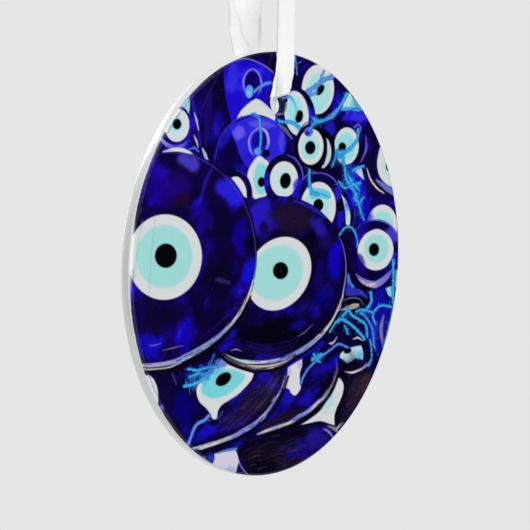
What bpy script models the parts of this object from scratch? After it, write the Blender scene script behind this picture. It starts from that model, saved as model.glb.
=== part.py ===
"""Oval evil eye ornament: a glazed ceramic plate with a printed front, hung by a satin ribbon loop.

The front of the plate faces -Y, its width runs along X and its height along Z. The origin is the
inside top of the ribbon loop, under the knot, where a hook or a twig carries it.
"""

from math import cos, pi, radians, sin

import bmesh
import bpy
from mathutils import Vector

# Driving dimensions, in metres.
PLATE_WIDTH = 0.070
PLATE_HEIGHT = 0.089
PLATE_THICKNESS = 0.0032
FRONT_EDGE_RADIUS = 0.0007
BACK_EDGE_RADIUS = 0.0004
HOLE_DIAMETER = 0.0041
HOLE_BELOW_TOP = 0.0114
PICTURE_THICKNESS = 0.0003
GAP = 0.0003
LOOP_DROP = 0.086
RIBBON_WIDTH = 0.0095
FRONT_STRAND_WIDTH = 0.0046
REAR_STRAND_WIDTH = 0.0070
STRAND_THICKNESS = 0.0005
FRONT_STRAND_FACING = radians(12)
REAR_STRAND_FACING = radians(-32)
BIGHT_WIDTH = 0.0018
BIGHT_THICKNESS = 0.0008
BIGHT_REACH = 0.0022
BIGHT_ABOVE_HOLE = 0.00105
KNOT_SIZE = (0.0112, 0.0094, 0.0096)
KNOT_CLEARANCE = 0.0005
TAIL_THICKNESS = 0.0004
TAIL_FACING = radians(-60)

OVAL_STEPS = 88
HOLE_STEPS = 28
EDGE_STEPS = 3

HOLE_Z = -LOOP_DROP
PLATE_CENTRE_Z = HOLE_Z + HOLE_BELOW_TOP - PLATE_HEIGHT / 2
FRONT_Y = -PLATE_THICKNESS / 2
BACK_Y = PLATE_THICKNESS / 2

# Routes of the two ribbon strands: x, y and height above the hole, from the hole up to the knot.
FRONT_ROUTE = [
    (0.0, -0.0025, 0.00105),
    (0.0, -0.00292, 0.00145),
    (-0.0001, -0.00295, 0.0024),
    (-0.0002, -0.0028, 0.0042),
    (-0.0003, -0.0026, 0.0072),
    (-0.00035, -0.0025, 0.0110),
    (-0.0004, -0.00245, 0.0160),
    (-0.0005, -0.0025, 0.0221),
    (-0.0006, -0.0028, 0.0300),
    (-0.0006, -0.0031, 0.0400),
    (-0.0005, -0.0031, 0.0500),
    (-0.0004, -0.0027, 0.0600),
    (-0.0003, -0.0021, 0.0700),
    (-0.0001, -0.0014, 0.0790),
    (0.0, -0.0009, 0.0858),
]
REAR_ROUTE = [
    (0.0, 0.0025, 0.00105),
    (-0.00005, 0.0034, 0.0013),
    (-0.00015, 0.0049, 0.0024),
    (-0.00025, 0.0067, 0.0042),
    (-0.0004, 0.0086, 0.0070),
    (-0.0005, 0.0101, 0.0102),
    (-0.00065, 0.0112, 0.0150),
    (-0.0008, 0.0119, 0.0210),
    (-0.0009, 0.0125, 0.0290),
    (-0.0009, 0.0126, 0.0380),
    (-0.0008, 0.0119, 0.0470),
    (-0.00065, 0.0103, 0.0560),
    (-0.0005, 0.0079, 0.0650),
    (-0.0003, 0.0050, 0.0735),
    (-0.00015, 0.0026, 0.0805),
    (0.0, 0.0011, 0.0858),
]
TAIL_ROUTES = {
    "ribbon_tail_left": [
        (-0.0014, -0.0006, 0.0104),
        (-0.0022, -0.0012, 0.0130),
        (-0.0038, -0.0022, 0.0164),
        (-0.0064, -0.0034, 0.0196),
        (-0.0098, -0.0046, 0.0214),
    ],
    "ribbon_tail_right": [
        (0.0014, 0.0006, 0.0104),
        (0.0020, 0.0012, 0.0134),
        (0.0034, 0.0024, 0.0172),
        (0.0056, 0.0042, 0.0206),
        (0.0086, 0.0064, 0.0228),
    ],
}


def clear_scene():
    for obj in list(bpy.data.objects):
        bpy.data.objects.remove(obj, do_unlink=True)


def make_material(name, colour, roughness):
    material = bpy.data.materials.new(name)
    material.use_nodes = True
    shader = material.node_tree.nodes["Principled BSDF"]
    shader.inputs["Base Color"].default_value = (*colour, 1.0)
    shader.inputs["Roughness"].default_value = roughness
    shader.inputs["Metallic"].default_value = 0.0
    return material


def add_object(name, bm, material):
    bmesh.ops.recalc_face_normals(bm, faces=bm.faces)
    mesh = bpy.data.meshes.new(name)
    bm.to_mesh(mesh)
    bm.free()
    mesh.shade_smooth()
    mesh.set_sharp_from_angle(angle=radians(40))
    obj = bpy.data.objects.new(name, mesh)
    bpy.context.scene.collection.objects.link(obj)
    mesh.materials.append(material)
    return obj


def add_empty(name, location, parent=None):
    empty = bpy.data.objects.new(name, None)
    empty.empty_display_size = 0.005
    empty.location = location
    bpy.context.scene.collection.objects.link(empty)
    if parent:
        place_under(empty, parent)
    return empty


def place_under(child, parent):
    """Parents without moving the child."""
    bpy.context.view_layer.update()
    child.parent = parent
    child.matrix_parent_inverse = parent.matrix_world.inverted()


def loft(bm, rings, caps=True):
    """Skins a row of closed rings of points, each with the same number of points."""
    made = [[bm.verts.new(point) for point in ring] for ring in rings]
    for low, high in zip(made, made[1:]):
        count = len(low)
        for i in range(count):
            j = (i + 1) % count
            bm.faces.new((low[i], low[j], high[j], high[i]))
    if caps:
        bm.faces.new(made[0])
        bm.faces.new(list(reversed(made[-1])))
    return made


def oval_ring(inset, y):
    """One turn around the plate's outline, moved inwards by inset."""
    half_width = PLATE_WIDTH / 2 - inset
    half_height = PLATE_HEIGHT / 2 - inset
    return [
        Vector((
            half_width * cos(2 * pi * i / OVAL_STEPS),
            y,
            PLATE_CENTRE_Z + half_height * sin(2 * pi * i / OVAL_STEPS),
        ))
        for i in range(OVAL_STEPS)
    ]


def rounding(radius):
    """Inset and depth pairs along a quarter round, from the flat face to the side wall."""
    turns = [pi / 2 * i / EDGE_STEPS for i in range(EDGE_STEPS + 1)]
    return [(radius * (1 - sin(turn)), radius * (1 - cos(turn))) for turn in turns]


def cut_hole(obj, cutter):
    modifier = obj.modifiers.new("hanging_hole", "BOOLEAN")
    modifier.operation = "DIFFERENCE"
    modifier.solver = "EXACT"
    modifier.object = cutter


def make_hole_cutter():
    bm = bmesh.new()
    rings = [
        [
            Vector((
                HOLE_DIAMETER / 2 * cos(2 * pi * i / HOLE_STEPS),
                y,
                HOLE_Z + HOLE_DIAMETER / 2 * sin(2 * pi * i / HOLE_STEPS),
            ))
            for i in range(HOLE_STEPS)
        ]
        for y in (2 * FRONT_Y, 2 * BACK_Y)
    ]
    loft(bm, rings)
    cutter = add_object("hole_cutter", bm, make_material("cutter", (0.8, 0.1, 0.1), 0.5))
    cutter.hide_render = True
    cutter.display_type = "WIRE"
    return cutter


def make_ceramic_plate(cutter):
    """The white body: full size behind the picture's edge, and a raised step under the picture."""
    under_picture = PICTURE_THICKNESS + GAP
    step_y = FRONT_Y + FRONT_EDGE_RADIUS + GAP
    face_y = FRONT_Y + under_picture
    small_round = FRONT_EDGE_RADIUS - under_picture
    rings = [
        oval_ring(under_picture + small_round, face_y),
        oval_ring(under_picture, face_y + small_round),
        oval_ring(under_picture, step_y),
        oval_ring(0.0, step_y),
    ]
    for inset, depth in reversed(rounding(BACK_EDGE_RADIUS)):
        rings.append(oval_ring(inset, BACK_Y - depth))
    bm = bmesh.new()
    loft(bm, rings)
    plate = add_object("ceramic_plate", bm, make_material("ceramic", (0.86, 0.87, 0.87), 0.18))
    cut_hole(plate, cutter)
    return plate


def make_picture_layer(cutter):
    """The printed skin: it covers the front and wraps over the rounded front edge."""
    outer = [oval_ring(inset, FRONT_Y + depth) for inset, depth in rounding(FRONT_EDGE_RADIUS)]
    inner_round = FRONT_EDGE_RADIUS - PICTURE_THICKNESS
    inner = [
        oval_ring(PICTURE_THICKNESS + inset, FRONT_Y + PICTURE_THICKNESS + depth)
        for inset, depth in reversed(rounding(inner_round))
    ]
    bm = bmesh.new()
    loft(bm, outer + inner)
    picture = add_object("picture_layer", bm, make_material("picture", (0.03, 0.03, 0.42), 0.12))
    cut_hole(picture, cutter)
    return picture


def smooth_route(points, steps_each=2):
    """Points on the smooth curve (Catmull-Rom) through the given ones."""
    first = points[0] * 2 - points[1]
    last = points[-1] * 2 - points[-2]
    row = [first, *points, last]
    curve = []
    for i in range(1, len(row) - 2):
        a, b, c, d = row[i - 1 : i + 3]
        for k in range(steps_each):
            t = k / steps_each
            curve.append(
                0.5 * (2 * b + (c - a) * t + (2 * a - 5 * b + 4 * c - d) * t * t
                       + (3 * b - a - 3 * c + d) * t * t * t)
            )
    curve.append(points[-1].copy())
    return curve


def blend(low, high, share):
    """Moves from low to high as share goes from 0 to 1, softly at both ends."""
    share = min(1.0, max(0.0, share))
    return low + (high - low) * share * share * (3 - 2 * share)


def sweep_strap(name, curve, section_at, material):
    """A flat strap along a curve. section_at(share of the length) gives width, thickness, facing."""
    lengths = [0.0]
    for a, b in zip(curve, curve[1:]):
        lengths.append(lengths[-1] + (b - a).length)
    rings = []
    for i, centre in enumerate(curve):
        ahead = curve[min(i + 1, len(curve) - 1)]
        behind = curve[max(i - 1, 0)]
        tangent = (ahead - behind).normalized()
        width, thickness, facing = section_at(lengths[i] / lengths[-1])
        side = Vector((cos(facing), sin(facing), 0.0))
        side = (side - tangent * side.dot(tangent)).normalized()
        across = tangent.cross(side)
        corners = [(-1, -1), (-0.5, -1), (0.5, -1), (1, -1), (1, 1), (0.5, 1), (-0.5, 1), (-1, 1)]
        rings.append([
            centre + side * (u * width / 2) + across * (v * thickness / 2) for u, v in corners
        ])
    bm = bmesh.new()
    loft(bm, rings)
    return add_object(name, bm, material)


def make_strand(name, route, open_width, open_facing, material):
    """One strand of the loop: gathered at the hole, wider above it, gathered again at the knot."""
    points = [Vector((x, y, HOLE_Z + height)) for x, y, height in route]

    def section_at(share):
        gathered = min(share / 0.10, (1 - share) / 0.12)
        width = blend(BIGHT_WIDTH, open_width, gathered)
        thickness = blend(BIGHT_THICKNESS, STRAND_THICKNESS, gathered)
        return width, thickness, blend(0.0, open_facing, gathered)

    return sweep_strap(name, smooth_route(points), section_at, material)


def make_bight(material):
    """The gathered ribbon inside the hole, which carries the plate."""
    height = HOLE_Z + BIGHT_ABOVE_HOLE
    ends = [Vector((0.0, -BIGHT_REACH, height)), Vector((0.0, BIGHT_REACH, height))]
    curve = [ends[0].lerp(ends[1], k / 4) for k in range(5)]

    def section_at(share):
        return BIGHT_WIDTH, BIGHT_THICKNESS, 0.0

    return sweep_strap("ribbon_bight", curve, section_at, material)


def make_knot(material):
    """An overhand knot, plain: a rounded body with a waist where one turn crosses the other."""
    bm = bmesh.new()
    bmesh.ops.create_uvsphere(bm, u_segments=24, v_segments=12, radius=0.5)
    centre = Vector((0.0, 0.0, KNOT_CLEARANCE + KNOT_SIZE[2] / 2))
    for vert in bm.verts:
        x, y, z = vert.co
        waist = 1 - 0.10 * cos(2 * pi * z) ** 2 * abs(2 * x)
        vert.co = centre + Vector((KNOT_SIZE[0] * x * waist, KNOT_SIZE[1] * y * waist, KNOT_SIZE[2] * z))
    return add_object("ribbon_knot", bm, material)


def make_tail(name, route, material):
    """A cut end of the ribbon above the knot, opening to its full width."""
    curve = smooth_route([Vector(point) for point in route])

    def section_at(share):
        return blend(0.3 * RIBBON_WIDTH, 0.8 * RIBBON_WIDTH, share), TAIL_THICKNESS, TAIL_FACING

    return sweep_strap(name, curve, section_at, material)


def main():
    clear_scene()
    satin = make_material("satin", (0.90, 0.90, 0.91), 0.35)
    cutter = make_hole_cutter()
    plate = make_ceramic_plate(cutter)
    picture = make_picture_layer(cutter)
    bight = make_bight(satin)
    front = make_strand(
        "ribbon_front_strand", FRONT_ROUTE, FRONT_STRAND_WIDTH, FRONT_STRAND_FACING, satin
    )
    rear = make_strand(
        "ribbon_rear_strand", REAR_ROUTE, REAR_STRAND_WIDTH, REAR_STRAND_FACING, satin
    )
    knot = make_knot(satin)
    tails = [make_tail(name, route, satin) for name, route in TAIL_ROUTES.items()]

    hook_point = add_empty("hook_point", (0.0, 0.0, 0.0))
    twist_axis = add_empty("twist_axis", (0.0, 0.0, 0.0), hook_point)
    tilt_axis = add_empty("tilt_axis", (0.0, 0.0, HOLE_Z), twist_axis)
    swing_axis = add_empty("swing_axis", (0.0, 0.0, HOLE_Z), tilt_axis)
    for obj in (knot, *tails):
        place_under(obj, hook_point)
    for obj in (front, rear):
        place_under(obj, twist_axis)
    place_under(bight, tilt_axis)
    for obj in (plate, picture, cutter):
        place_under(obj, swing_axis)


main()
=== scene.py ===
"""The look of the evil eye ornament: glazed plate, printed picture, satin ribbon, light and camera.

Lengths are metres in the CAD frame. Inside the painting section they are mm from the middle of the
plate's face, x to the right and z up.
"""

from math import cos, pi, radians, sin

import bmesh
import bpy
import numpy as np
from mathutils import Matrix, Vector
from mathutils.geometry import delaunay_2d_cdt


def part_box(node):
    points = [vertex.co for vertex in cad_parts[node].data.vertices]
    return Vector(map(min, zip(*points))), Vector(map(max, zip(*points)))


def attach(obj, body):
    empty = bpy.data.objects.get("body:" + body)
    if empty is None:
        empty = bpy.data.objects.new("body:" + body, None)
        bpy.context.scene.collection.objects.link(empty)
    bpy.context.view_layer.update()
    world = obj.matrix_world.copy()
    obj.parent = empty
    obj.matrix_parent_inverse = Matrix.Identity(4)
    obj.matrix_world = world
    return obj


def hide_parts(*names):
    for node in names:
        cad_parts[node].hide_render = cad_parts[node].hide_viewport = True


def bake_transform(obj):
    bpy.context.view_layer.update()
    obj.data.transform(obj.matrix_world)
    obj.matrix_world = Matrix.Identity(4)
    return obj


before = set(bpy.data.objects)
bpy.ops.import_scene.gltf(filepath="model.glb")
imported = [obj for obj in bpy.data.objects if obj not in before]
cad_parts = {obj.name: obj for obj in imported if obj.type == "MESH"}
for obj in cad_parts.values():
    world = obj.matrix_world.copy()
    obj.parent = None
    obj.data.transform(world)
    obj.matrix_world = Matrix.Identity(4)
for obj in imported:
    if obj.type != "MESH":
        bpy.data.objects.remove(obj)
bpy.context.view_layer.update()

# ---------------------------------------------------------------- sizes

MM = 0.001
PICTURE_LOW, PICTURE_HIGH = (Vector(corner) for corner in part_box("picture_layer"))
PLATE_CENTRE = Vector((0.0, 0.0, (PICTURE_LOW.z + PICTURE_HIGH.z) / 2))
HALF_WIDTH = (PICTURE_HIGH.x - PICTURE_LOW.x) / 2
HALF_HEIGHT = (PICTURE_HIGH.z - PICTURE_LOW.z) / 2
FRONT_Y = PICTURE_LOW.y
BACK_Y = Vector(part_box("ceramic_plate")[1]).y
FRONT_ROUND = 0.7 * MM
BACK_ROUND = 0.4 * MM
HOLE_RADIUS = 2.05 * MM
HOLE_CENTRE = Vector((0.0, 0.0, -0.086))
PRINT_THICKNESS = 0.2 * MM
PRINT_GAP = 0.02 * MM  # between the print's back and the porcelain

RIBBON_WIDTH = 9.5 * MM
RIBBON_THICKNESS = 0.16 * MM
FOLD_RADIUS = 0.16 * MM


# ---------------------------------------------------------------- materials


def new_material(name):
    """A material with one Principled shader, and helpers to add nodes and links to it."""
    material = bpy.data.materials.new(name)
    material.use_nodes = True
    tree = material.node_tree
    shader = tree.nodes["Principled BSDF"]

    def node(kind, **settings):
        made = tree.nodes.new(kind)
        for key, value in settings.items():
            if key in made.inputs:
                made.inputs[key].default_value = value
            else:
                setattr(made, key, value)
        return made

    return material, shader, node, tree.links.new


def ramp(node, link, source, low, high, low_value, high_value):
    """Maps low..high of the source to low_value..high_value, clamped, and gives the result."""
    made = node("ShaderNodeMapRange")
    made.inputs["From Min"].default_value = low
    made.inputs["From Max"].default_value = high
    made.inputs["To Min"].default_value = low_value
    made.inputs["To Max"].default_value = high_value
    link(source, made.inputs["Value"])
    return made.outputs["Result"]


def noise(node, link, place, scale, detail):
    """Smooth noise, about 0 to 1, over the place."""
    made = node("ShaderNodeTexNoise", Scale=scale, Detail=detail)
    link(place, made.inputs["Vector"])
    return made.outputs["Fac"]


def stretched(node, link, place, scale):
    """The place, scaled by a different amount along each axis."""
    made = node("ShaderNodeMapping")
    made.inputs["Scale"].default_value = scale
    link(place, made.inputs["Vector"])
    return made.outputs["Vector"]


def calculate(node, link, operation, first, second, third=None):
    """One sum. Each value is a socket or a number."""
    made = node("ShaderNodeMath", operation=operation)
    for socket, value in zip(made.inputs, (first, second, third)):
        if isinstance(value, (int, float)):
            socket.default_value = value
        elif value is not None:
            link(value, socket)
    return made.outputs[0]


def multiply_colour(node, link, colour, tone):
    """The colour, a socket or a triple, darkened by the tone."""
    made = node("ShaderNodeMix", data_type="RGBA", blend_type="MULTIPLY")
    made.inputs["Factor"].default_value = 1.0
    if isinstance(colour, tuple):
        made.inputs["A"].default_value = (*colour, 1.0)
    else:
        link(colour, made.inputs["A"])
    link(tone, made.inputs["B"])
    return made.outputs["Result"]


def add_bump(node, link, shader, height, strength, distance):
    """Lets the height roughen the surface."""
    bump = node("ShaderNodeBump", Strength=strength, Distance=distance)
    link(height, bump.inputs["Height"])
    link(bump.outputs["Normal"], shader.inputs["Normal"])


def satin_material(name, colour):
    """White satin: fine lengthwise yarns, a woven edge, long soft creases and a silky sheen."""
    material, shader, node, link = new_material(name)
    place = node("ShaderNodeAttribute", attribute_name="strip").outputs["Vector"]
    yarns = noise(node, link, stretched(node, link, place, (9.0, 1.1, 0.0)), 1.0, 2.0)
    creases = noise(node, link, stretched(node, link, place, (0.9, 0.10, 0.3)), 1.0, 3.0)

    axes = node("ShaderNodeSeparateXYZ")
    link(place, axes.inputs["Vector"])
    half_width = RIBBON_WIDTH / MM / 2
    from_middle = calculate(node, link, "SUBTRACT", axes.outputs["X"], half_width)
    outwards = calculate(node, link, "ABSOLUTE", from_middle, None)
    selvedge = ramp(node, link, outwards, half_width - 0.45, half_width - 0.30, 0.0, 1.0)
    tone = ramp(node, link, yarns, 0.3, 0.7, 0.93, 1.0)
    edge_tone = calculate(node, link, "MULTIPLY_ADD", selvedge, -0.035, tone)
    link(multiply_colour(node, link, colour, edge_tone), shader.inputs["Base Color"])
    link(ramp(node, link, yarns, 0.25, 0.75, 0.46, 0.58), shader.inputs["Roughness"])
    height = calculate(node, link, "MULTIPLY_ADD", yarns, 0.12, creases)
    add_bump(node, link, shader, height, 0.35, 0.25 * MM)
    shader.inputs["Sheen Weight"].default_value = 0.25
    shader.inputs["Sheen Roughness"].default_value = 0.35
    shader.inputs["Specular IOR Level"].default_value = 0.35
    return material


def glaze_material(name):
    """White porcelain under clear glaze: faint clouding, pin specks and a hair of orange peel."""
    material, shader, node, link = new_material(name)
    place = node("ShaderNodeTexCoord").outputs["Object"]
    clouds = noise(node, link, place, 60.0, 3.0)
    specks = node("ShaderNodeTexVoronoi", Scale=420.0)
    link(place, specks.inputs["Vector"])
    speck = ramp(node, link, specks.outputs["Distance"], 0.05, 0.11, 0.90, 1.0)
    clouded = node("ShaderNodeMix", data_type="RGBA")
    clouded.inputs["A"].default_value = (0.70, 0.715, 0.72, 1.0)
    clouded.inputs["B"].default_value = (0.76, 0.77, 0.772, 1.0)
    link(clouds, clouded.inputs["Factor"])
    link(multiply_colour(node, link, clouded.outputs["Result"], speck), shader.inputs["Base Color"])
    link(ramp(node, link, clouds, 0.3, 0.7, 0.10, 0.17), shader.inputs["Roughness"])
    add_bump(node, link, shader, noise(node, link, place, 240.0, 1.0), 0.10, 0.08 * MM)
    shader.inputs["Coat Weight"].default_value = 0.5
    shader.inputs["Coat Roughness"].default_value = 0.06
    return material


def print_material(name):
    """The fired print: its painted colour with fine grain, under the same clear glaze."""
    material, shader, node, link = new_material(name)
    colour = node("ShaderNodeVertexColor", layer_name="print").outputs["Color"]
    place = node("ShaderNodeTexCoord").outputs["Object"]
    grain = ramp(node, link, noise(node, link, place, 2600.0, 2.0), 0.3, 0.7, 0.97, 1.02)
    link(multiply_colour(node, link, colour, grain), shader.inputs["Base Color"])
    clouds = noise(node, link, place, 90.0, 2.0)
    link(ramp(node, link, clouds, 0.3, 0.7, 0.05, 0.10), shader.inputs["Roughness"])
    add_bump(node, link, shader, noise(node, link, place, 200.0, 1.0), 0.06, 0.05 * MM)
    shader.inputs["Specular IOR Level"].default_value = 0.32
    return material


# ---------------------------------------------------------------- ribbon

# The strands' routes: x, y and height above the hole, from the hole up to the knot, as in the CAD.
FRONT_ROUTE = [
    (0.0, -0.0025, 0.00105),
    (0.0, -0.00292, 0.00145),
    (-0.0001, -0.00295, 0.0024),
    (-0.0002, -0.0028, 0.0042),
    (-0.0003, -0.0026, 0.0072),
    (-0.00035, -0.0025, 0.0110),
    (-0.0004, -0.00245, 0.0160),
    (-0.0005, -0.0025, 0.0221),
    (-0.0006, -0.0028, 0.0300),
    (-0.0006, -0.0031, 0.0400),
    (-0.0005, -0.0031, 0.0500),
    (-0.0004, -0.0027, 0.0600),
    (-0.0003, -0.0021, 0.0700),
    (-0.0001, -0.0014, 0.0790),
    (0.0, -0.0009, 0.0858),
]
REAR_ROUTE = [
    (0.0, 0.0025, 0.00105),
    (-0.00005, 0.0034, 0.0013),
    (-0.00015, 0.0049, 0.0024),
    (-0.00025, 0.0067, 0.0042),
    (-0.0004, 0.0086, 0.0070),
    (-0.0005, 0.0101, 0.0102),
    (-0.00065, 0.0112, 0.0150),
    (-0.0008, 0.0119, 0.0210),
    (-0.0009, 0.0125, 0.0290),
    (-0.0009, 0.0126, 0.0380),
    (-0.0008, 0.0119, 0.0470),
    (-0.00065, 0.0103, 0.0560),
    (-0.0005, 0.0079, 0.0650),
    (-0.0003, 0.0050, 0.0735),
    (-0.00015, 0.0026, 0.0805),
    (0.0, 0.0011, 0.0858),
]


def smooth_route(points, steps_each):
    """Points on the smooth curve (Catmull-Rom) through the given ones."""
    first = points[0] * 2 - points[1]
    last = points[-1] * 2 - points[-2]
    row = [first, *points, last]
    curve = []
    for i in range(1, len(row) - 2):
        a, b, c, d = row[i - 1 : i + 3]
        for k in range(steps_each):
            t = k / steps_each
            curve.append(
                0.5 * (2 * b + (c - a) * t + (2 * a - 5 * b + 4 * c - d) * t * t
                       + (3 * b - a - 3 * c + d) * t * t * t)
            )
    curve.append(points[-1].copy())
    return curve


def direction_at(curve, k):
    """The curve's direction at its point k."""
    return (curve[min(k + 1, len(curve) - 1)] - curve[max(k - 1, 0)]).normalized()


def distances_along(curve):
    """How far along the curve each of its points lies."""
    along = [0.0]
    for a, b in zip(curve, curve[1:]):
        along.append(along[-1] + (b - a).length)
    return along


def between(keys, at):
    """Interpolates smoothly in a table of (place, value, value, ...) rows."""
    places = [key[0] for key in keys]
    at = min(max(at, places[0]), places[-1])
    k = max(i for i, place in enumerate(places) if place <= at)
    if k == len(keys) - 1:
        return keys[-1][1:]
    t = (at - places[k]) / (places[k + 1] - places[k])
    t = t * t * (3 - 2 * t)
    return tuple(a + (b - a) * t for a, b in zip(keys[k][1:], keys[k + 1][1:]))


def folded_section(folds, curl, steps=72):
    """A cut across the ribbon, RIBBON_WIDTH long measured along itself.

    Each fold is (how far from the left edge as a share of the width, its turn in degrees); curl is
    the gentle bend of the rest, in degrees. Gives offsets across and outwards, and the headings.
    """
    step = RIBBON_WIDTH / steps
    heading = -radians(curl) / 2
    points = [(0.0, 0.0)]
    headings = [heading]
    for k in range(steps):
        turn = radians(curl) / steps
        for share, angle in folds:
            length = max(abs(radians(angle)) * FOLD_RADIUS, 0.3 * MM)
            start = share * RIBBON_WIDTH - length / 2
            overlap = min((k + 1) * step, start + length) - max(k * step, start)
            turn += radians(angle) * max(0.0, overlap) / length
        heading += turn
        headings.append(heading)
        x, y = points[-1]
        points.append((x + step * cos(heading - turn / 2), y + step * sin(heading - turn / 2)))
    return points, headings


def place_section(centre, tangent, facing, section, offset, mirrored, level_share):
    """Puts a ribbon cut across the route and gives the points of both faces, as one closed ring.

    level_share is the place on the cut, as a share of its width, that lies level with the facing.
    """
    points, headings = section
    turn = -headings[round(level_share * (len(points) - 1))]
    side = Vector((cos(facing), sin(facing), 0.0))
    side = (side - tangent * side.dot(tangent)).normalized()
    outward = tangent.cross(side)
    flip = -1 if mirrored else 1
    turned = [(x * cos(turn) - y * sin(turn), x * sin(turn) + y * cos(turn)) for x, y in points]
    xs = [point[0] for point in turned]
    ys = [point[1] for point in turned]
    mid_x = (min(xs) + max(xs)) / 2
    mid_y = (min(ys) + max(ys)) / 2
    faces = [[], []]
    for (x, y), heading in zip(turned, headings):
        across = Vector((-sin(heading + turn), cos(heading + turn)))
        for face, shift in zip(faces, (-RIBBON_THICKNESS / 2, RIBBON_THICKNESS / 2)):
            u = flip * (x - mid_x + across.x * shift)
            v = y - mid_y + across.y * shift + offset
            face.append(centre + side * u + outward * v)
    return faces


def strip_mesh(name, rings, along, material):
    """Skins ribbon rings, each two rows of points, into one closed thin body."""
    count = len(rings[0][0])
    vertices = []
    strip = []
    for (front, back), place in zip(rings, along):
        vertices += front + back
        for side, row in ((0.0, front), (1.0, back)):
            strip += [(RIBBON_WIDTH / MM * k / (count - 1), place / MM, side) for k in range(len(row))]
    faces = []
    for r in range(len(rings) - 1):
        here = r * 2 * count
        there = here + 2 * count
        for k in range(count - 1):
            faces.append((here + k, here + k + 1, there + k + 1, there + k))
            faces.append((here + count + k + 1, here + count + k, there + count + k, there + count + k + 1))
        faces.append((here + count, here, there, there + count))
        faces.append((here + count - 1, here + 2 * count - 1, there + 2 * count - 1, there + count - 1))
    for start, flip in ((0, False), ((len(rings) - 1) * 2 * count, True)):
        for k in range(count - 1):
            quad = (start + k, start + count + k, start + count + k + 1, start + k + 1)
            faces.append(tuple(reversed(quad)) if flip else quad)
    piece = add_mesh(name, vertices, faces, material, smooth_angle=50)
    store_strip(piece, strip)
    return piece


def store_strip(piece, strip):
    """Keeps each point's place on the flat ribbon, in mm, for the satin: across, along and side."""
    attribute = piece.data.attributes.new("strip", "FLOAT_VECTOR", "POINT")
    attribute.data.foreach_set("vector", [value for row in strip for value in row])


def route_frames(route, steps_each):
    """The route's smooth points, their directions and their distance from the start."""
    curve = smooth_route([HOLE_CENTRE + Vector(point) for point in route], steps_each)
    tangents = [direction_at(curve, k) for k in range(len(curve))]
    return curve, tangents, distances_along(curve)


# How each strand is folded, by height above the hole in mm. The columns are: height, then the two
# folds' places as shares of the width, each followed by its turn in degrees, the curl and the facing
# in degrees, how far the ribbon stands off its route towards the plate, to the right and up, in mm,
# and how much it climbs from left to right, in mm for each mm.
FRONT_FOLDS = [
    (1.0, 0.53, 178, 0.80, 0, 40, -2, 0.20, -0.60, 0.95, 0.30),
    (1.5, 0.53, 178, 0.80, 0, 42, -2, 0.20, -0.55, 0.60, 0.28),
    (2.4, 0.53, 178, 0.80, 0, 42, -1, 0.15, -0.48, 0.12, 0.20),
    (4.2, 0.53, 178, 0.80, 0, 36, 0, 0.05, -0.10, 0.0, 0.08),
    (7.2, 0.52, 178, 0.80, 0, 18, 2, 0.0, 0.30, 0.0, 0.0),
    (11.0, 0.50, 177, 0.80, 0, 8, 3, 0.0, 0.33, 0.0, 0.0),
    (16.0, 0.50, 177, 0.80, 0, 8, 4, 0.0, 0.10, 0.0, 0.0),
    (22.0, 0.50, 177, 0.80, 0, 8, 4, 0.0, -0.2, 0.0, 0.0),
    (28.0, 0.50, 172, 0.80, 0, 8, 5, 0.0, 0.0, 0.0, 0.0),
    (38.0, 0.50, 130, 0.80, 0, 18, 8, 0.0, 0.0, 0.0, 0.0),
    (50.0, 0.50, 40, 0.80, 0, 34, 6, 0.0, 0.0, 0.0, 0.0),
    (62.0, 0.50, 10, 0.80, 0, 44, 0, 0.0, 0.0, 0.0, 0.0),
    (74.0, 0.42, 40, 0.70, -30, 50, 0, 0.0, 0.0, 0.0, 0.0),
    (81.0, 0.36, 140, 0.68, -130, 20, 0, 0.0, 0.0, 0.0, 0.0),
    (85.8, 0.34, 172, 0.67, -170, 10, 0, 0.0, 0.0, 0.0, 0.0),
]
REAR_FOLDS = [
    (1.0, 0.33, 172, 0.66, -168, 10, 0, 0.55, 0.0, 0.0, 0.0),
    (2.2, 0.30, 172, 0.62, -165, 10, -6, 0.40, 0.0, 0.0, 0.0),
    (4.5, 0.20, 150, 0.585, -170, 8, -18, 0.10, 0.0, 0.0, 0.0),
    (8.0, 0.08, 60, 0.59, -174, 8, -30, 0.0, 0.0, 0.0, 0.0),
    (10.7, 0.05, 0, 0.60, -174, 10, -34, 0.0, 0.0, 0.0, 0.0),
    (16.0, 0.10, 40, 0.74, -174, 22, -33, 0.0, 0.0, 0.0, 0.0),
    (22.1, 0.14, 110, 0.885, -170, 24, -33, 0.0, 0.0, 0.0, 0.0),
    (29.0, 0.14, 80, 1.04, -120, 30, -28, 0.0, 0.0, 0.0, 0.0),
    (38.0, 0.12, 20, 1.10, -20, 40, -20, 0.0, 0.0, 0.0, 0.0),
    (62.0, 0.30, 10, 1.10, 0, 46, -6, 0.0, 0.0, 0.0, 0.0),
    (74.0, 0.34, 60, 0.70, -50, 40, 0, 0.0, 0.0, 0.0, 0.0),
    (81.0, 0.34, 140, 0.68, -140, 20, 0, 0.0, 0.0, 0.0, 0.0),
    (85.8, 0.33, 172, 0.67, -170, 10, 0, 0.0, 0.0, 0.0, 0.0),
]


def make_strand(name, route, folds, mirrored, level_share, material):
    """One folded strand of the loop, with its route and length."""
    curve, tangents, along = route_frames(route, steps_each=12)
    rings = []
    path = []
    for centre, tangent in zip(curve, tangents):
        height = (centre.z - HOLE_CENTRE.z) / MM
        row = between(folds, height)
        place_a, turn_a, place_b, turn_b, curl, facing, offset, aside, lift, climb = row
        section = folded_section(((place_a, turn_a), (place_b, turn_b)), curl)
        ring = place_section(
            centre, tangent, radians(facing), section, offset * MM, mirrored, level_share
        )
        for face in ring:
            for point in face:
                point.z += lift * MM + climb * (point.x - centre.x)
                point.x += aside * MM
        rings.append(ring)
        path.append(centre)
    return strip_mesh(name, rings, along, material), path, along[-1]


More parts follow.
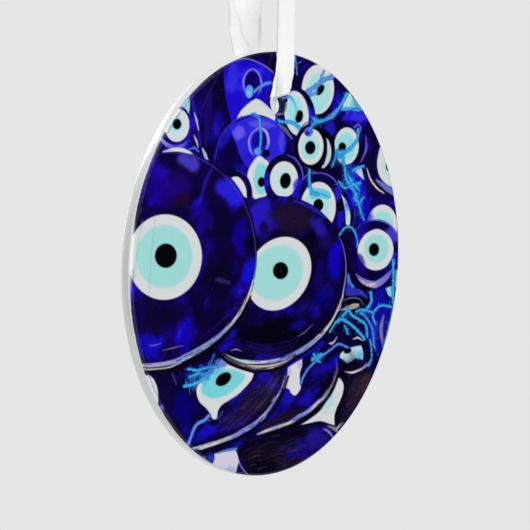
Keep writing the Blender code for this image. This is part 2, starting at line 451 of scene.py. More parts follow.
# The ribbon inside the hole, as cuts across it: how deep each lies behind the plate's middle, then
# the points it passes through (x and height above the hole's middle), all in mm. It laps over the
# rim's left side in front, gathers upright inside the hole, and rises behind the plate.
HOLE_CUTS = [
    (-2.30, [(-2.85, 1.25), (-2.0, 1.5), (-1.0, 1.8), (0.0, 2.1), (1.0, 2.4), (1.9, 2.7)]),
    (-2.05, [(-2.75, 0.5), (-2.35, 1.3), (-1.5, 1.85), (-0.4, 2.2), (0.5, 2.5), (0.9, 2.75)]),
    (-1.80, [(-2.1, -0.8), (-2.4, 0.3), (-2.15, 1.2), (-1.4, 1.85), (-0.7, 2.15), (-0.3, 2.35)]),
    (-1.62, [(-1.38, -1.42), (-1.85, -0.7), (-1.95, 0.2), (-1.7, 1.0), (-1.1, 1.62), (-0.55, 1.88)]),
    (-1.30, [(-1.15, -1.55), (-1.0, -0.9), (-0.85, -0.1), (-0.8, 0.6), (-0.7, 1.3), (-0.45, 1.9)]),
    (-1.00, [(-1.05, -1.6), (-0.6, -1.1), (-0.45, -0.4), (-0.4, 0.4), (-0.45, 1.2), (-0.5, 1.9)]),
    (-0.40, [(-0.85, -1.7), (-0.2, -1.1), (-0.02, -0.3), (0.04, 0.5), (-0.05, 1.2), (-0.1, 1.9)]),
    (0.50, [(-0.4, -1.85), (0.3, -1.2), (0.6, -0.4), (0.7, 0.4), (0.6, 1.1), (0.4, 1.8)]),
    (1.30, [(0.1, -1.85), (0.8, -1.2), (1.2, -0.4), (1.3, 0.4), (1.15, 1.1), (0.8, 1.65)]),
    (1.75, [(0.2, -1.6), (1.0, -1.0), (1.5, -0.3), (1.6, 0.5), (1.35, 1.2), (0.9, 1.7)]),
    (2.20, [(0.5, -0.9), (1.2, -0.3), (1.6, 0.4), (1.5, 1.1), (1.0, 1.6), (0.3, 1.9)]),
    (2.70, [(0.4, 0.3), (1.0, 0.6), (1.4, 1.1), (1.1, 1.6), (0.4, 1.9), (-0.4, 2.0)]),
    (3.30, [(0.9, 1.0), (1.3, 1.3), (1.1, 1.7), (0.5, 2.0), (-0.4, 2.1), (-1.1, 2.0)]),
    (4.10, [(1.0, 1.9), (1.2, 2.2), (0.8, 2.5), (0.2, 2.6), (-0.6, 2.6), (-1.2, 2.5)]),
]


def even_points(points, count):
    """Points evenly spaced on the smooth curve through the given ones."""
    curve = smooth_route([Vector((x, 0.0, z)) for x, z in points], 8)
    along = distances_along(curve)
    places = np.linspace(0, along[-1], count)
    xs = np.interp(places, along, [point.x for point in curve])
    zs = np.interp(places, along, [point.z for point in curve])
    return [Vector((float(x), float(z))) for x, z in zip(xs, zs)]


def make_bight(material):
    """The ribbon where it passes through the hole and carries the plate."""
    count = 49
    rows = [even_points(points, count) for _, points in HOLE_CUTS]
    depths = [depth for depth, _ in HOLE_CUTS]
    rings = []
    along = []
    fifths = np.arange(0, len(depths) - 0.99, 0.2)
    for depth in np.interp(fifths, range(len(depths)), depths):
        middle = [
            Vector((
                float(np.interp(depth, depths, [row[k].x for row in rows])),
                float(np.interp(depth, depths, [row[k].y for row in rows])),
            ))
            for k in range(count)
        ]
        faces = [[], []]
        for k, point in enumerate(middle):
            ahead = direction_at(middle, k)
            across = Vector((-ahead.y, ahead.x))
            for face, shift in zip(faces, (-0.5, 0.5)):
                place = point + across * (shift * RIBBON_THICKNESS / MM)
                face.append(HOLE_CENTRE + Vector((place.x, depth, place.y)) * MM)
        rings.append(faces)
        along.append((depth - depths[0]) * MM)
    return strip_mesh("ribbon_through_hole", rings, along, material)


# The overhand knot's path, as shares of the CAD knot's half size.
KNOT_PATH = [
    (0.00, 0.00, -1.20),
    (0.05, -0.10, -0.85),
    (0.40, -0.45, -0.50),
    (0.62, -0.20, 0.15),
    (0.36, 0.42, 0.55),
    (-0.22, 0.62, 0.30),
    (-0.64, 0.26, -0.25),
    (-0.60, -0.40, -0.52),
    (-0.12, -0.70, -0.40),
    (0.44, -0.56, -0.05),
    (0.68, 0.10, 0.00),
    (0.34, 0.60, -0.40),
    (-0.26, 0.56, -0.66),
    (-0.52, 0.02, -0.45),
    (-0.34, -0.40, 0.20),
    (-0.06, -0.22, 0.66),
    (0.00, 0.00, 1.25),
]

# Half the gathered ribbon's size across itself, the wide way and the narrow way.
KNOT_WIDE = 1.75 * MM
KNOT_DEEP = 1.15 * MM


def make_knot(material):
    """The overhand knot: gathered ribbon that goes round itself, pleated along its length."""
    low, high = (Vector(corner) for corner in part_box("ribbon_knot"))
    centre = (low + high) / 2
    half = (high - low) / 2
    points = [
        centre + Vector((half.x * 0.92 * x, half.y * 0.92 * y, half.z * 0.98 * z))
        for x, y, z in KNOT_PATH
    ]
    curve = smooth_route(points, 10)
    count = 40
    vertices = []
    strip = []
    side = Vector((1.0, 0.0, 0.0))
    along = distances_along(curve)
    for n, point in enumerate(curve):
        tangent = direction_at(curve, n)
        side = (side - tangent * side.dot(tangent)).normalized()
        other = tangent.cross(side)
        share = n / (len(curve) - 1)
        swell = 1.0 if share < 0.5 else 0.75 + 0.25 * sin(pi * min(1.0, (1 - share) * 4) / 2)
        for k in range(count):
            turn = 2 * pi * k / count
            pleat = 1 + 0.10 * sin(5 * turn + 2.4 * share) + 0.05 * sin(11 * turn - 5 * share)
            reach = swell * pleat
            spot = point + side * (KNOT_WIDE * reach * cos(turn)) + other * (KNOT_DEEP * reach * sin(turn))
            spot.x = min(max(spot.x, low.x), high.x)
            spot.y = min(max(spot.y, low.y), high.y)
            vertices.append(spot)
            strip.append((RIBBON_WIDTH / MM * k / count, along[n] / MM, 0.0))
    faces = []
    for n in range(len(curve) - 1):
        faces += ring_faces(n * count, (n + 1) * count, count)
    faces.append(tuple(range(count)))
    faces.append(tuple(reversed(range((len(curve) - 1) * count, len(curve) * count))))
    piece = add_mesh("knot_wraps", vertices, faces, material, smooth_angle=70)
    point_outwards(piece)
    store_strip(piece, strip)
    return piece


# The cut ends above the knot, as in the CAD.
TAIL_ROUTES = {
    "left_end": [
        (-0.0006, -0.0002, 0.0074),
        (-0.0014, -0.0006, 0.0104),
        (-0.0022, -0.0012, 0.0130),
        (-0.0038, -0.0022, 0.0164),
        (-0.0064, -0.0034, 0.0196),
        (-0.0098, -0.0046, 0.0214),
    ],
    "right_end": [
        (0.0006, 0.0002, 0.0074),
        (0.0014, 0.0006, 0.0104),
        (0.0020, 0.0012, 0.0134),
        (0.0034, 0.0024, 0.0172),
        (0.0056, 0.0042, 0.0206),
        (0.0086, 0.0064, 0.0228),
    ],
}
# How each end is folded. The columns are: the share of its length, then as in FRONT_FOLDS up to facing.
TAIL_FOLDS = [
    (0.0, 0.33, 165, 0.67, -160, 10, -60),
    (0.25, 0.30, 120, 0.70, -110, 20, -60),
    (0.6, 0.28, 30, 0.72, -20, 46, -60),
    (1.0, 0.28, 0, 0.72, 0, 40, -60),
]


def make_tail(name, route, slant, material):
    """One end of the ribbon, cut at a slant, which is given in mm."""
    curve = smooth_route([Vector(point) for point in route], 10)
    along = distances_along(curve)
    rings = []
    for n, centre in enumerate(curve):
        tangent = direction_at(curve, n)
        share = along[n] / along[-1]
        place_a, turn_a, place_b, turn_b, curl, facing = between(TAIL_FOLDS, share)
        section = folded_section(((place_a, turn_a), (place_b, turn_b)), curl)
        ring = place_section(centre, tangent, radians(facing), section, 0.0, False, 0.5)
        rows = len(ring[0])
        pull = slant * MM * share**4
        for face in ring:
            for k in range(rows):
                face[k] = face[k] + tangent * (pull * (k / (rows - 1) - 1))
        rings.append(ring)
    return strip_mesh(name, rings, along, material)


# ---------------------------------------------------------------- plate and print


def add_mesh(name, vertices, faces, material, smooth_angle=40):
    """A piece from its points and faces, smooth except over edges sharper than smooth_angle."""
    mesh = bpy.data.meshes.new(name)
    mesh.from_pydata([tuple(vertex) for vertex in vertices], [], faces)
    mesh.shade_smooth()
    mesh.set_sharp_from_angle(angle=radians(smooth_angle))
    mesh.materials.append(material)
    piece = bpy.data.objects.new(name, mesh)
    bpy.context.scene.collection.objects.link(piece)
    return piece


def oval_ring(inset, y, count):
    """A ring of points round the plate's outline, moved inwards by inset."""
    turns = [2 * pi * i / count for i in range(count)]
    return [
        Vector((
            (HALF_WIDTH - inset) * cos(turn),
            y,
            PLATE_CENTRE.z + (HALF_HEIGHT - inset) * sin(turn),
        ))
        for turn in turns
    ]


def hole_ring(radius, y, count):
    """A ring of points round the hole."""
    turns = [2 * pi * i / count for i in range(count)]
    return [HOLE_CENTRE + Vector((radius * cos(turn), y, radius * sin(turn))) for turn in turns]


def ring_faces(first, second, count):
    """Quads between two rings whose first vertices have these numbers."""
    return [
        (first + i, first + (i + 1) % count, second + (i + 1) % count, second + i)
        for i in range(count)
    ]


def make_plate_body(material):
    """The porcelain: a wall round the oval, soft back edges and an eased hole, closed under the print."""
    count = 288
    around_hole = 72
    front_y = FRONT_Y + PRINT_THICKNESS + PRINT_GAP
    wall_y = FRONT_Y + FRONT_ROUND + PRINT_GAP
    inner_round = FRONT_ROUND - PRINT_THICKNESS
    steps = [k / 5 for k in range(6)]  # shares of a quarter round
    rows = [
        (PRINT_THICKNESS + PRINT_GAP + inner_round * (1 - sin(pi / 2 * t)),
         front_y + inner_round * (1 - cos(pi / 2 * t)))
        for t in steps
    ]
    rows.append((0.0, wall_y))
    rows += [
        (BACK_ROUND * (1 - cos(pi / 2 * t)), BACK_Y - BACK_ROUND * (1 - sin(pi / 2 * t)))
        for t in steps
    ]
    vertices = []
    for inset, y in rows:
        vertices += oval_ring(inset, y, count)
    faces = []
    for r in range(len(rows) - 1):
        faces += ring_faces(r * count, (r + 1) * count, count)
    ease = 0.25 * MM
    hole_rows = [(HOLE_RADIUS, front_y), (HOLE_RADIUS, BACK_Y - ease)]
    hole_rows += [
        (HOLE_RADIUS + ease * (1 - cos(pi / 2 * t)), BACK_Y - ease * (1 - sin(pi / 2 * t)))
        for t in steps[1:]
    ]
    first_hole = len(vertices)
    for radius, y in hole_rows:
        vertices += hole_ring(radius, y, around_hole)
    for r in range(len(hole_rows) - 1):
        start = first_hole + r * around_hole
        faces += ring_faces(start + around_hole, start, around_hole)
    last_hole = first_hole + (len(hole_rows) - 1) * around_hole
    faces += face_with_hole(vertices, 0, count, first_hole, around_hole, flip=False)
    faces += face_with_hole(vertices, (len(rows) - 1) * count, count, last_hole, around_hole, flip=True)
    return add_mesh("plate_body", vertices, faces, material)


def face_with_hole(vertices, outer, outer_count, inner, inner_count, flip):
    """Triangles that fill the flat face between the oval's ring and the hole's ring."""
    numbers = [*range(outer, outer + outer_count), *range(inner, inner + inner_count)]
    flat = [(vertices[n].x, vertices[n].z) for n in numbers]
    made = delaunay_2d_cdt([Vector(point) for point in flat], [], [], 0, 1e-9)
    faces = []
    for triangle in made[2]:
        corners = [numbers[made[3][k][0]] for k in triangle]
        if all(n >= inner for n in corners):
            continue
        faces.append(tuple(reversed(corners)) if flip else tuple(corners))
    return faces


# Half the print's oval laid flat, in mm: the plate's, and the length its rounded edge adds.
EDGE_GROWTH = FRONT_ROUND / MM * (pi / 2 - 1)
FLAT_HALF_WIDTH = HALF_WIDTH / MM + EDGE_GROWTH
FLAT_HALF_HEIGHT = HALF_HEIGHT / MM + EDGE_GROWTH


def wrap_onto_plate(x, z):
    """Where a painted point, in mm, lies on the plate: flat in the middle, over the edge outside.

    The painting's oval is larger than the flat face by the length of the quarter round.
    """
    inward = np.zeros_like(x)
    for _ in range(12):
        level = np.hypot(x / (FLAT_HALF_WIDTH - inward), z / (FLAT_HALF_HEIGHT - inward))
        slope = np.hypot(x / (FLAT_HALF_WIDTH - inward) ** 2, z / (FLAT_HALF_HEIGHT - inward) ** 2)
        inward += (1 - level) / np.maximum(slope, 1e-3) * 0.9
        inward = np.minimum(inward, 6.0)
    turn = np.clip((FRONT_ROUND / MM * pi / 2 - inward) / (FRONT_ROUND / MM), 0, pi / 2)
    inset = FRONT_ROUND / MM * (1 - np.sin(turn))
    depth = FRONT_ROUND / MM * (1 - np.cos(turn))
    around = np.arctan2(z / (FLAT_HALF_HEIGHT - inward), x / (FLAT_HALF_WIDTH - inward))
    bent = turn > 0
    new_x = np.where(bent, (HALF_WIDTH / MM - inset) * np.cos(around), x)
    new_z = np.where(bent, (HALF_HEIGHT / MM - inset) * np.sin(around), z)
    return new_x * MM, FRONT_Y + depth * MM, PLATE_CENTRE.z + new_z * MM


def choose_points(rgb, smallest_change):
    """Marks the grid points worth keeping: squares are halved until each is nearly one colour."""
    keep = np.zeros(rgb.shape[:2], bool)
    size = 8
    rows = (rgb.shape[0] - 1) // size
    columns = (rgb.shape[1] - 1) // size
    squares = np.array([(size * r, size * c) for r in range(rows) for c in range(columns)])
    while len(squares):
        r, c = squares[:, 0], squares[:, 1]
        for dr in (0, size):
            for dc in (0, size):
                keep[r + dr, c + dc] = True
        if size == 1:
            break
        offsets = [(dr, dc) for dr in range(0, size + 1) for dc in range(0, size + 1)]
        block = np.stack([rgb[r + dr, c + dc] for dr, dc in offsets], 1)
        corner = block[:, [0, size, size * (size + 1), size * (size + 2)]]
        spread = (block.max(1) - block.min(1)).max(-1)
        flat_fit = np.abs(block.mean(1) - corner.mean(1)).max(-1)
        busy = (spread > smallest_change) | (flat_fit > smallest_change / 3)
        half = size // 2
        finer = squares[busy]
        quarters = [finer + (dr, dc) for dr in (0, half) for dc in (0, half)]
        squares = np.concatenate(quarters) if len(finer) else finer
        size = half
    return keep


# The print's rings of points near the edge, in mm inside its oval, and down the hole.
RIM_INSETS = (0.0, 0.25, 0.50, 0.54, 0.82, 1.1)
PLAIN_RIM_RINGS = 3
RIM_CLEARANCE = 0.62
RIM_COUNT = 720
SLEEVE_DEPTHS = (0.3, 0.6, 0.9, 1.2, 1.5, 1.8, 2.1, 2.4, 2.7, 2.92)
SLEEVE_SHRINK = 0.74
SLEEVE_RADIUS = HOLE_RADIUS / MM - 0.03
HOLE_CLEARANCE = 0.06
HOLE_COUNT = 96
HOLE_X = HOLE_CENTRE.x / MM
HOLE_Z = (HOLE_CENTRE.z - PLATE_CENTRE.z) / MM
PLAIN_GLAZE = np.array([214.0, 217.0, 217.0])


def flat_print_points(painting):
    """The print's points laid flat, in mm: a ring round the hole, the rim's rings, then the rest."""
    keep = choose_points(painting.rgb, SMALLEST_CHANGE)
    gx = painting.gx[keep]
    gz = painting.gz[keep]
    inner = np.hypot(gx / (FLAT_HALF_WIDTH - RIM_CLEARANCE), gz / (FLAT_HALF_HEIGHT - RIM_CLEARANCE)) < 1
    inner &= np.hypot(gx - HOLE_X, gz - HOLE_Z) > SLEEVE_RADIUS + HOLE_CLEARANCE
    around = 2 * pi * np.arange(RIM_COUNT) / RIM_COUNT
    bands = [(FLAT_HALF_WIDTH - inset, FLAT_HALF_HEIGHT - inset) for inset in RIM_INSETS]
    hole_around = 2 * pi * np.arange(HOLE_COUNT) / HOLE_COUNT
    rim_x = np.concatenate([a * np.cos(around) for a, b in bands])
    rim_z = np.concatenate([b * np.sin(around) for a, b in bands])
    flat_x = np.concatenate([HOLE_X + SLEEVE_RADIUS * np.cos(hole_around), rim_x, gx[inner]])
    flat_z = np.concatenate([HOLE_Z + SLEEVE_RADIUS * np.sin(hole_around), rim_z, gz[inner]])
    return flat_x, flat_z


def join_flat_points(flat_x, flat_z):
    """Triangles between the flat points, without those that would cover the hole."""
    made = delaunay_2d_cdt(
        [Vector(point) for point in np.stack([flat_x, flat_z], 1)], [], [], 0, 1e-6
    )
    sources = [origin[0] for origin in made[3]]
    faces = []
    for triangle in made[2]:
        corners = tuple(sources[k] for k in triangle)
        if not all(k < HOLE_COUNT for k in corners):
            faces.append(corners)
    return faces


def press_into_hole(painting, vertices, colours, faces):
    """Carries the picture down the hole, where what lay over the hole shrinks onto its wall.

    Gives the number of the last ring's first point.
    """
    last = 0
    around = 2 * pi * np.arange(HOLE_COUNT) / HOLE_COUNT
    wall_x = SLEEVE_RADIUS * np.cos(around)
    wall_z = SLEEVE_RADIUS * np.sin(around)
    for depth in SLEEVE_DEPTHS:
        start = len(vertices)
        vertices.extend(hole_ring(SLEEVE_RADIUS * MM, FRONT_Y + depth * MM, HOLE_COUNT))
        shift = np.minimum(SLEEVE_SHRINK * depth, np.abs(wall_x)) * np.sign(wall_x)
        # Deep down, the wall takes the dark navy painted over the hole: painted shade inside the hole.
        colours.extend(sample(painting, HOLE_X + wall_x - shift, HOLE_Z + wall_z))
        faces.extend(ring_faces(start, last, HOLE_COUNT))
        last = start
    return last


def close_print(vertices, colours, faces, last_sleeve):
    """Closes the print's skin with an inner wall in the hole, an inner rim and a back, all plain."""

    def add_ring(ring, last, count):
        """Goes on from the last ring to this one."""
        start = len(vertices)
        vertices.extend(ring)
        colours.extend([PLAIN_GLAZE] * len(ring))
        faces.extend(ring_faces(last, start, count))
        return start

    radius = HOLE_RADIUS - 0.01 * MM
    sleeve_end = hole_ring(radius, FRONT_Y + SLEEVE_DEPTHS[-1] * MM, HOLE_COUNT)
    hole_back = hole_ring(radius, FRONT_Y + PRINT_THICKNESS, HOLE_COUNT)
    inner_hole = add_ring(hole_back, add_ring(sleeve_end, last_sleeve, HOLE_COUNT), HOLE_COUNT)
    last = HOLE_COUNT
    inner_round = FRONT_ROUND - PRINT_THICKNESS
    for t in (1.0, 0.66, 0.33, 0.0):
        inset = PRINT_THICKNESS + inner_round * (1 - sin(pi / 2 * t))
        depth = PRINT_THICKNESS + inner_round * (1 - cos(pi / 2 * t))
        last = add_ring(oval_ring(inset, FRONT_Y + depth, RIM_COUNT), last, RIM_COUNT)
    faces.extend(face_with_hole(vertices, last, RIM_COUNT, inner_hole, HOLE_COUNT, flip=True))


def make_print(painting, material):
    """The print as a thin closed skin: over the face, round the front edge and into the hole."""
    flat_x, flat_z = flat_print_points(painting)
    rgb = sample(painting, flat_x, flat_z)
    rgb[HOLE_COUNT : HOLE_COUNT + PLAIN_RIM_RINGS * RIM_COUNT] = PLAIN_GLAZE
    colours = list(rgb)
    faces = join_flat_points(flat_x, flat_z)
    x, y, z = wrap_onto_plate(flat_x, flat_z)
    vertices = [Vector(point) for point in np.stack([x, y, z], 1)]
    last_sleeve = press_into_hole(painting, vertices, colours, faces)
    close_print(vertices, colours, faces, last_sleeve)

    piece = add_mesh("printed_picture", vertices, faces, material)
    point_outwards(piece)
    layer = piece.data.color_attributes.new("print", "FLOAT_COLOR", "POINT")
    albedo = srgb_to_linear(np.array(colours)) * PRINT_GAIN
    rgba = np.concatenate([albedo, np.ones((len(albedo), 1))], 1)
    layer.data.foreach_set("color", rgba.astype(np.float32).ravel())
    return piece


def point_outwards(piece):
    """Turns every face of a closed piece outwards."""
    bm = bmesh.new()
    bm.from_mesh(piece.data)
    bmesh.ops.recalc_face_normals(bm, faces=bm.faces)
    bm.to_mesh(piece.data)
    bm.free()


# ---------------------------------------------------------------- painting on the plate's face

ART_STEP = 0.125


def srgb_to_linear(colour):
    """Display values from 0 to 255 as linear light from 0 to 1."""
    share = np.clip(np.asarray(colour, float) / 255, 0, 1)
    return np.where(share <= 0.04045, share / 12.92, ((share + 0.055) / 1.055) ** 2.4)


def soft_step(value):
    """0 below 0, 1 above 1, and a smooth rise between."""
    value = np.clip(value, 0, 1)
    return value * value * (3 - 2 * value)


def mottle(x, z, scale, seed, angle=0.0, stretch=1.0):
    """Smooth random values from 0 to 1 that change over about scale mm, drawn out along angle."""
    grid = np.random.default_rng(seed).random((64, 64))
    turn = radians(angle)
    u = (x * cos(turn) + z * sin(turn)) / (scale * stretch) + 32
    v = (z * cos(turn) - x * sin(turn)) / scale + 32
    i = np.floor(u).astype(int)
    j = np.floor(v).astype(int)
    s = soft_step(u - i)
    t = soft_step(v - j)
    low = grid[i % 64, j % 64] * (1 - s) + grid[(i + 1) % 64, j % 64] * s
    high = grid[i % 64, (j + 1) % 64] * (1 - s) + grid[(i + 1) % 64, (j + 1) % 64] * s
    return low * (1 - t) + high * t


def through(points, closed=False, steps=8):
    """A smooth curve (Catmull-Rom) through the points. A point given twice makes a corner."""
    row = [np.asarray(point, float) for point in points]
    if closed:
        row = [row[-1], *row, row[0], row[1]]
    else:
        row = [row[0] * 2 - row[1], *row, row[-1] * 2 - row[-2]]
    curve = []
    marks = []
    for k in range(1, len(row) - 2):
        a, b, c, d = row[k - 1 : k + 3]
        if np.allclose(b, c):
            continue
        if np.allclose(a, b):
            a = b - (c - b)
        if np.allclose(c, d):
            d = c + (c - b)
        for n in range(steps):
            t = n / steps
            curve.append(
                0.5 * (2 * b + (c - a) * t + (2 * a - 5 * b + 4 * c - d) * t**2
                       + (3 * b - a - 3 * c + d) * t**3)
            )
            marks.append(k - 1 + t)
    if not closed:
        curve.append(row[-2])
        marks.append(len(row) - 3)
    return np.array(curve), np.array(marks)


def oval(x, z, across, up, tilt=0.0):
    """An ellipse with half axes across and up, turned anticlockwise by tilt degrees."""
    turn = radians(tilt)
    reach = max(across, up)

    def distance(gx, gz):
        u = (gx - x) * cos(turn) + (gz - z) * sin(turn)
        v = (gz - z) * cos(turn) - (gx - x) * sin(turn)
        near = np.hypot(u / across, v / up)
        slope = np.hypot(u / across**2, v / up**2) + 1e-9
        return near * (near - 1) / slope

    return (x - reach, x + reach, z - reach, z + reach), distance


def outline(*points):
    """A closed smooth outline through the points."""
    loop, _ = through(points, closed=True)
    low = loop.min(0)
    high = loop.max(0)

    def distance(gx, gz):
        best = np.full(gx.shape, 1e9)
        inside = np.zeros(gx.shape, bool)
        for a, b in zip(loop, np.roll(loop, -1, axis=0)):
            step = b - a
            along = np.clip(((gx - a[0]) * step[0] + (gz - a[1]) * step[1]) / (step @ step + 1e-12), 0, 1)
            best = np.minimum(best, np.hypot(gx - a[0] - along * step[0], gz - a[1] - along * step[1]))
            if a[1] != b[1]:
                crosses = (a[1] > gz) != (b[1] > gz)
                inside ^= crosses & (gx < a[0] + (gz - a[1]) * step[0] / step[1])
        return np.where(inside, -best, best)

    return (low[0], high[0], low[1], high[1]), distance


class Painting:
    """Layers of colour on a fine grid over the face, in mm from its centre. Colours are 0 to 255."""

    def __init__(self, half_width, half_height, ground):
        self.half_width = half_width
        self.half_height = half_height
        self.x = np.arange(-half_width, half_width + ART_STEP, ART_STEP)
        self.z = np.arange(-half_height, half_height + ART_STEP, ART_STEP)
        self.gx, self.gz = np.meshgrid(self.x, self.z)
        self.rgb = np.zeros((*self.gx.shape, 3)) + np.asarray(ground, float)
        self.mask = None

    def window(self, box, margin):
        """The part of the grid within margin of the box."""
        left, right = np.searchsorted(self.x, (box[0] - margin, box[1] + margin))
        low, high = np.searchsorted(self.z, (box[2] - margin, box[3] + margin))
        return slice(low, high), slice(left, right)

    def lay(self, where, cover, colour):
        """Lays the colour over that part of the grid, as thickly as cover says."""
        if self.mask is not None:
            cover = cover * self.mask[where]
        self.rgb[where] += (np.asarray(colour, float) - self.rgb[where]) * cover[..., None]

    def inside(self, shape=None):
        """Later layers only show inside this shape, until the next call."""
        self.mask = None
        if shape is not None:
            self.mask = soft_step(0.5 - shape[1](self.gx, self.gz) / 0.2)

    def fill(self, shape, colour, soft=0.2, opacity=1.0):
        """Fills a shape. The colour is one triple, or a function of x, z and the distance outside."""
        where = self.window(shape[0], soft)
        gx = self.gx[where]
        gz = self.gz[where]
        distance = shape[1](gx, gz)
        if callable(colour):
            colour = colour(gx, gz, distance)
        self.lay(where, opacity * soft_step(0.5 - distance / soft), colour)

    def blotch(self, x, z, across, up, colour, opacity=0.8, tilt=0.0, seed=1, ragged=0.5):
        """A soft-edged patch in the glass, with a ragged outline."""
        shape = oval(x, z, across, up, tilt)
        where = self.window(shape[0], 0.6 * max(across, up))
        gx = self.gx[where]
        gz = self.gz[where]
        size = min(across, up)
        near = 1 + shape[1](gx, gz) / size
        near += ragged * (mottle(gx, gz, 0.5 * size + 0.5, seed) + 0.6 * mottle(gx, gz, 0.9, seed + 1) - 0.8)
        self.lay(where, opacity * soft_step((1.5 - near) / 1.05), colour)

    def blotches(self, *rows):
        """Patches, each a row of: x, z, across, up, colour, opacity, tilt and seed."""
        for row in rows:
            self.blotch(*row)

    def stroke(self, points, width, colour, soft=0.2, opacity=1.0, ragged=0.0, seed=1):
        """A line through the points. Width and colour are one value or one for each point."""
        curve, marks = through(points)
        widths = np.interp(marks, range(len(points)), np.broadcast_to(width, len(points)))
        colours = np.broadcast_to(np.asarray(colour, float), (len(points), 3))
        reach = widths.max() / 2 + soft + ragged
        low = curve.min(0)
        high = curve.max(0)
        where = self.window((low[0], high[0], low[1], high[1]), reach)
        gx = self.gx[where]
        gz = self.gz[where]
        best = np.full(gx.shape, 1e9)
        mark = np.zeros(gx.shape)
        for k in range(len(curve) - 1):
            a = curve[k]
            step = curve[k + 1] - a
            along = np.clip(((gx - a[0]) * step[0] + (gz - a[1]) * step[1]) / (step @ step + 1e-12), 0, 1)
            half = (widths[k] + along * (widths[k + 1] - widths[k])) / 2
            outside = np.hypot(gx - a[0] - along * step[0], gz - a[1] - along * step[1]) - half
            closer = outside < best
            best = np.where(closer, outside, best)
            mark = np.where(closer, marks[k] + along * (marks[k + 1] - marks[k]), mark)
        if ragged:
            best = best + ragged * 2 * (mottle(gx, gz, 0.35, seed) - 0.5)
        tint = np.stack([np.interp(mark, range(len(points)), colours[:, c]) for c in range(3)], -1)
        self.lay(where, opacity * soft_step(0.5 - best / soft), tint)

    def yarn(self, points, width, colour, seed=1, fray=0):
        """A twisted cotton thread: a dark edge, a lit core with a slant twist, and loose fibres."""
        dark = np.asarray(colour, float) * (0.35, 0.55, 0.75)
        lit = np.clip(np.asarray(colour, float) * 1.12 + 18, 0, 255)
        self.stroke(points, width + 0.12, dark, soft=0.3, opacity=0.75, ragged=0.12, seed=seed)
        self.stroke(points, 0.72 * np.asarray(width), colour, soft=0.3, ragged=0.1, seed=seed + 1)
        curve, _ = through(points, steps=10)
        random = np.random.default_rng(seed)
        base = float(np.mean(width))
        for k in range(2, len(curve) - 2, 5):
            ahead = curve[k + 2] - curve[k - 2]
            ahead = ahead / (np.hypot(*ahead) + 1e-9)
            across = np.array([-ahead[1], ahead[0]])
            start = curve[k] - across * base * 0.26 - ahead * base * 0.2
            end = curve[k] + across * base * 0.26 + ahead * base * 0.25
            self.stroke([start, end], base * 0.26, lit, soft=0.25, opacity=0.55)
        for _ in range(2 * fray):
            k = random.integers(0, len(curve))
            turn = random.random() * 2 * pi
            reach = base * (0.7 + 1.7 * random.random())
            bend = turn + random.normal() * 0.9
            start = curve[k]
            middle = start + 0.5 * reach * np.array([cos(turn), sin(turn)])
            end = middle + 0.5 * reach * np.array([cos(bend), sin(bend)])
            self.stroke([start, middle, end], 0.14, colour, soft=0.25, opacity=0.45 + 0.4 * random.random())


def sample(painting, x, z):
    """The painting's colour at any points, between its grid points."""
    column = np.clip((x - painting.x[0]) / ART_STEP, 0, len(painting.x) - 1.001)
    row = np.clip((z - painting.z[0]) / ART_STEP, 0, len(painting.z) - 1.001)
    i = column.astype(int)
    j = row.astype(int)
    s = (column - i)[:, None]
    t = (row - j)[:, None]
    rgb = painting.rgb
    low = rgb[j, i] * (1 - s) + rgb[j, i + 1] * s
    high = rgb[j + 1, i] * (1 - s) + rgb[j + 1, i + 1] * s
    return low * (1 - t) + high * t


def glass(dark, lit, scale, seed, angle=0.0, stretch=1.0, share=0.5):
    """Mottled glass: dark with clouds of lit colour over about that share of it, and fine streaks."""
    dark = np.asarray(dark, float)
    lit = np.asarray(lit, float)

    def colour(gx, gz, _):
        cloud = 0.60 * mottle(gx, gz, scale, seed, angle, stretch)
        cloud = cloud + 0.25 * mottle(gx, gz, 0.4 * scale, seed + 7, angle, stretch)
        cloud = cloud + 0.15 * mottle(gx, gz, 0.5, seed + 9, angle, 3.0)
        cover = soft_step((cloud - 0.72 + 0.5 * share) / 0.42)
        shine = soft_step((mottle(gx, gz, 0.8, seed + 3, angle + 20, 3.0) - 0.62) / 0.3) * cover
        tone = dark + (lit - dark) * cover[..., None]
        return tone + shine[..., None] * (12, 16, 40)

    return colour


# ---------------------------------------------------------------- the picture: glass eye beads

# Half the painted oval, in mm: a little more than the face and its rounded edge laid flat.
PAINTED_HALF_WIDTH = 35.75
PAINTED_HALF_HEIGHT = 45.25

WHITE = (208, 213, 211)
CREAM = (206, 196, 184)
AQUA = (154, 212, 209)
DEEP_AQUA = (120, 208, 212)
CYAN = (52, 158, 214)
CORD_BLUE = (84, 136, 222)
STEEL = (120, 142, 190)
NIGHT = (10, 5, 42)
INK = (3, 5, 8)


def moulded_rim(art, points, widths, colours, seed, soft=0.3):
    """A bead's moulded rim, with short scratches and bright nicks along it."""
    art.stroke(points, widths, colours, soft=soft)
    curve, _ = through(points, steps=12)
    random = np.random.default_rng(seed)
    tints = (CREAM, (226, 222, 214), (16, 9, 30), (66, 56, 84), (140, 160, 206), (10, 6, 20))
    for _ in range(3 * len(points)):
        k = random.integers(5, len(curve) - 5)
        ahead = curve[k + 4] - curve[k - 4]
        across = np.array([-ahead[1], ahead[0]]) / np.hypot(*ahead)
        aside = across * random.uniform(-0.55, 0.55)
        reach = random.integers(2, 5)
        tint = tints[random.integers(0, len(tints))]
        nick = [curve[k - reach] + aside, curve[k] + aside, curve[k + reach] + aside]
        art.stroke(nick, random.uniform(0.10, 0.22), tint, soft=0.22, opacity=random.uniform(0.4, 0.85))


def iris(art, white, aqua, pupil, aqua_colour=AQUA, soft=0.9):
    """An eye: a white oval, a soft aqua oval in it and a near-black pupil."""
    art.fill(oval(*white), WHITE, soft=0.3)
    art.fill(oval(*aqua), aqua_colour, soft=soft, opacity=0.96)
    if pupil:
        art.fill(oval(*pupil), INK, soft=0.4)


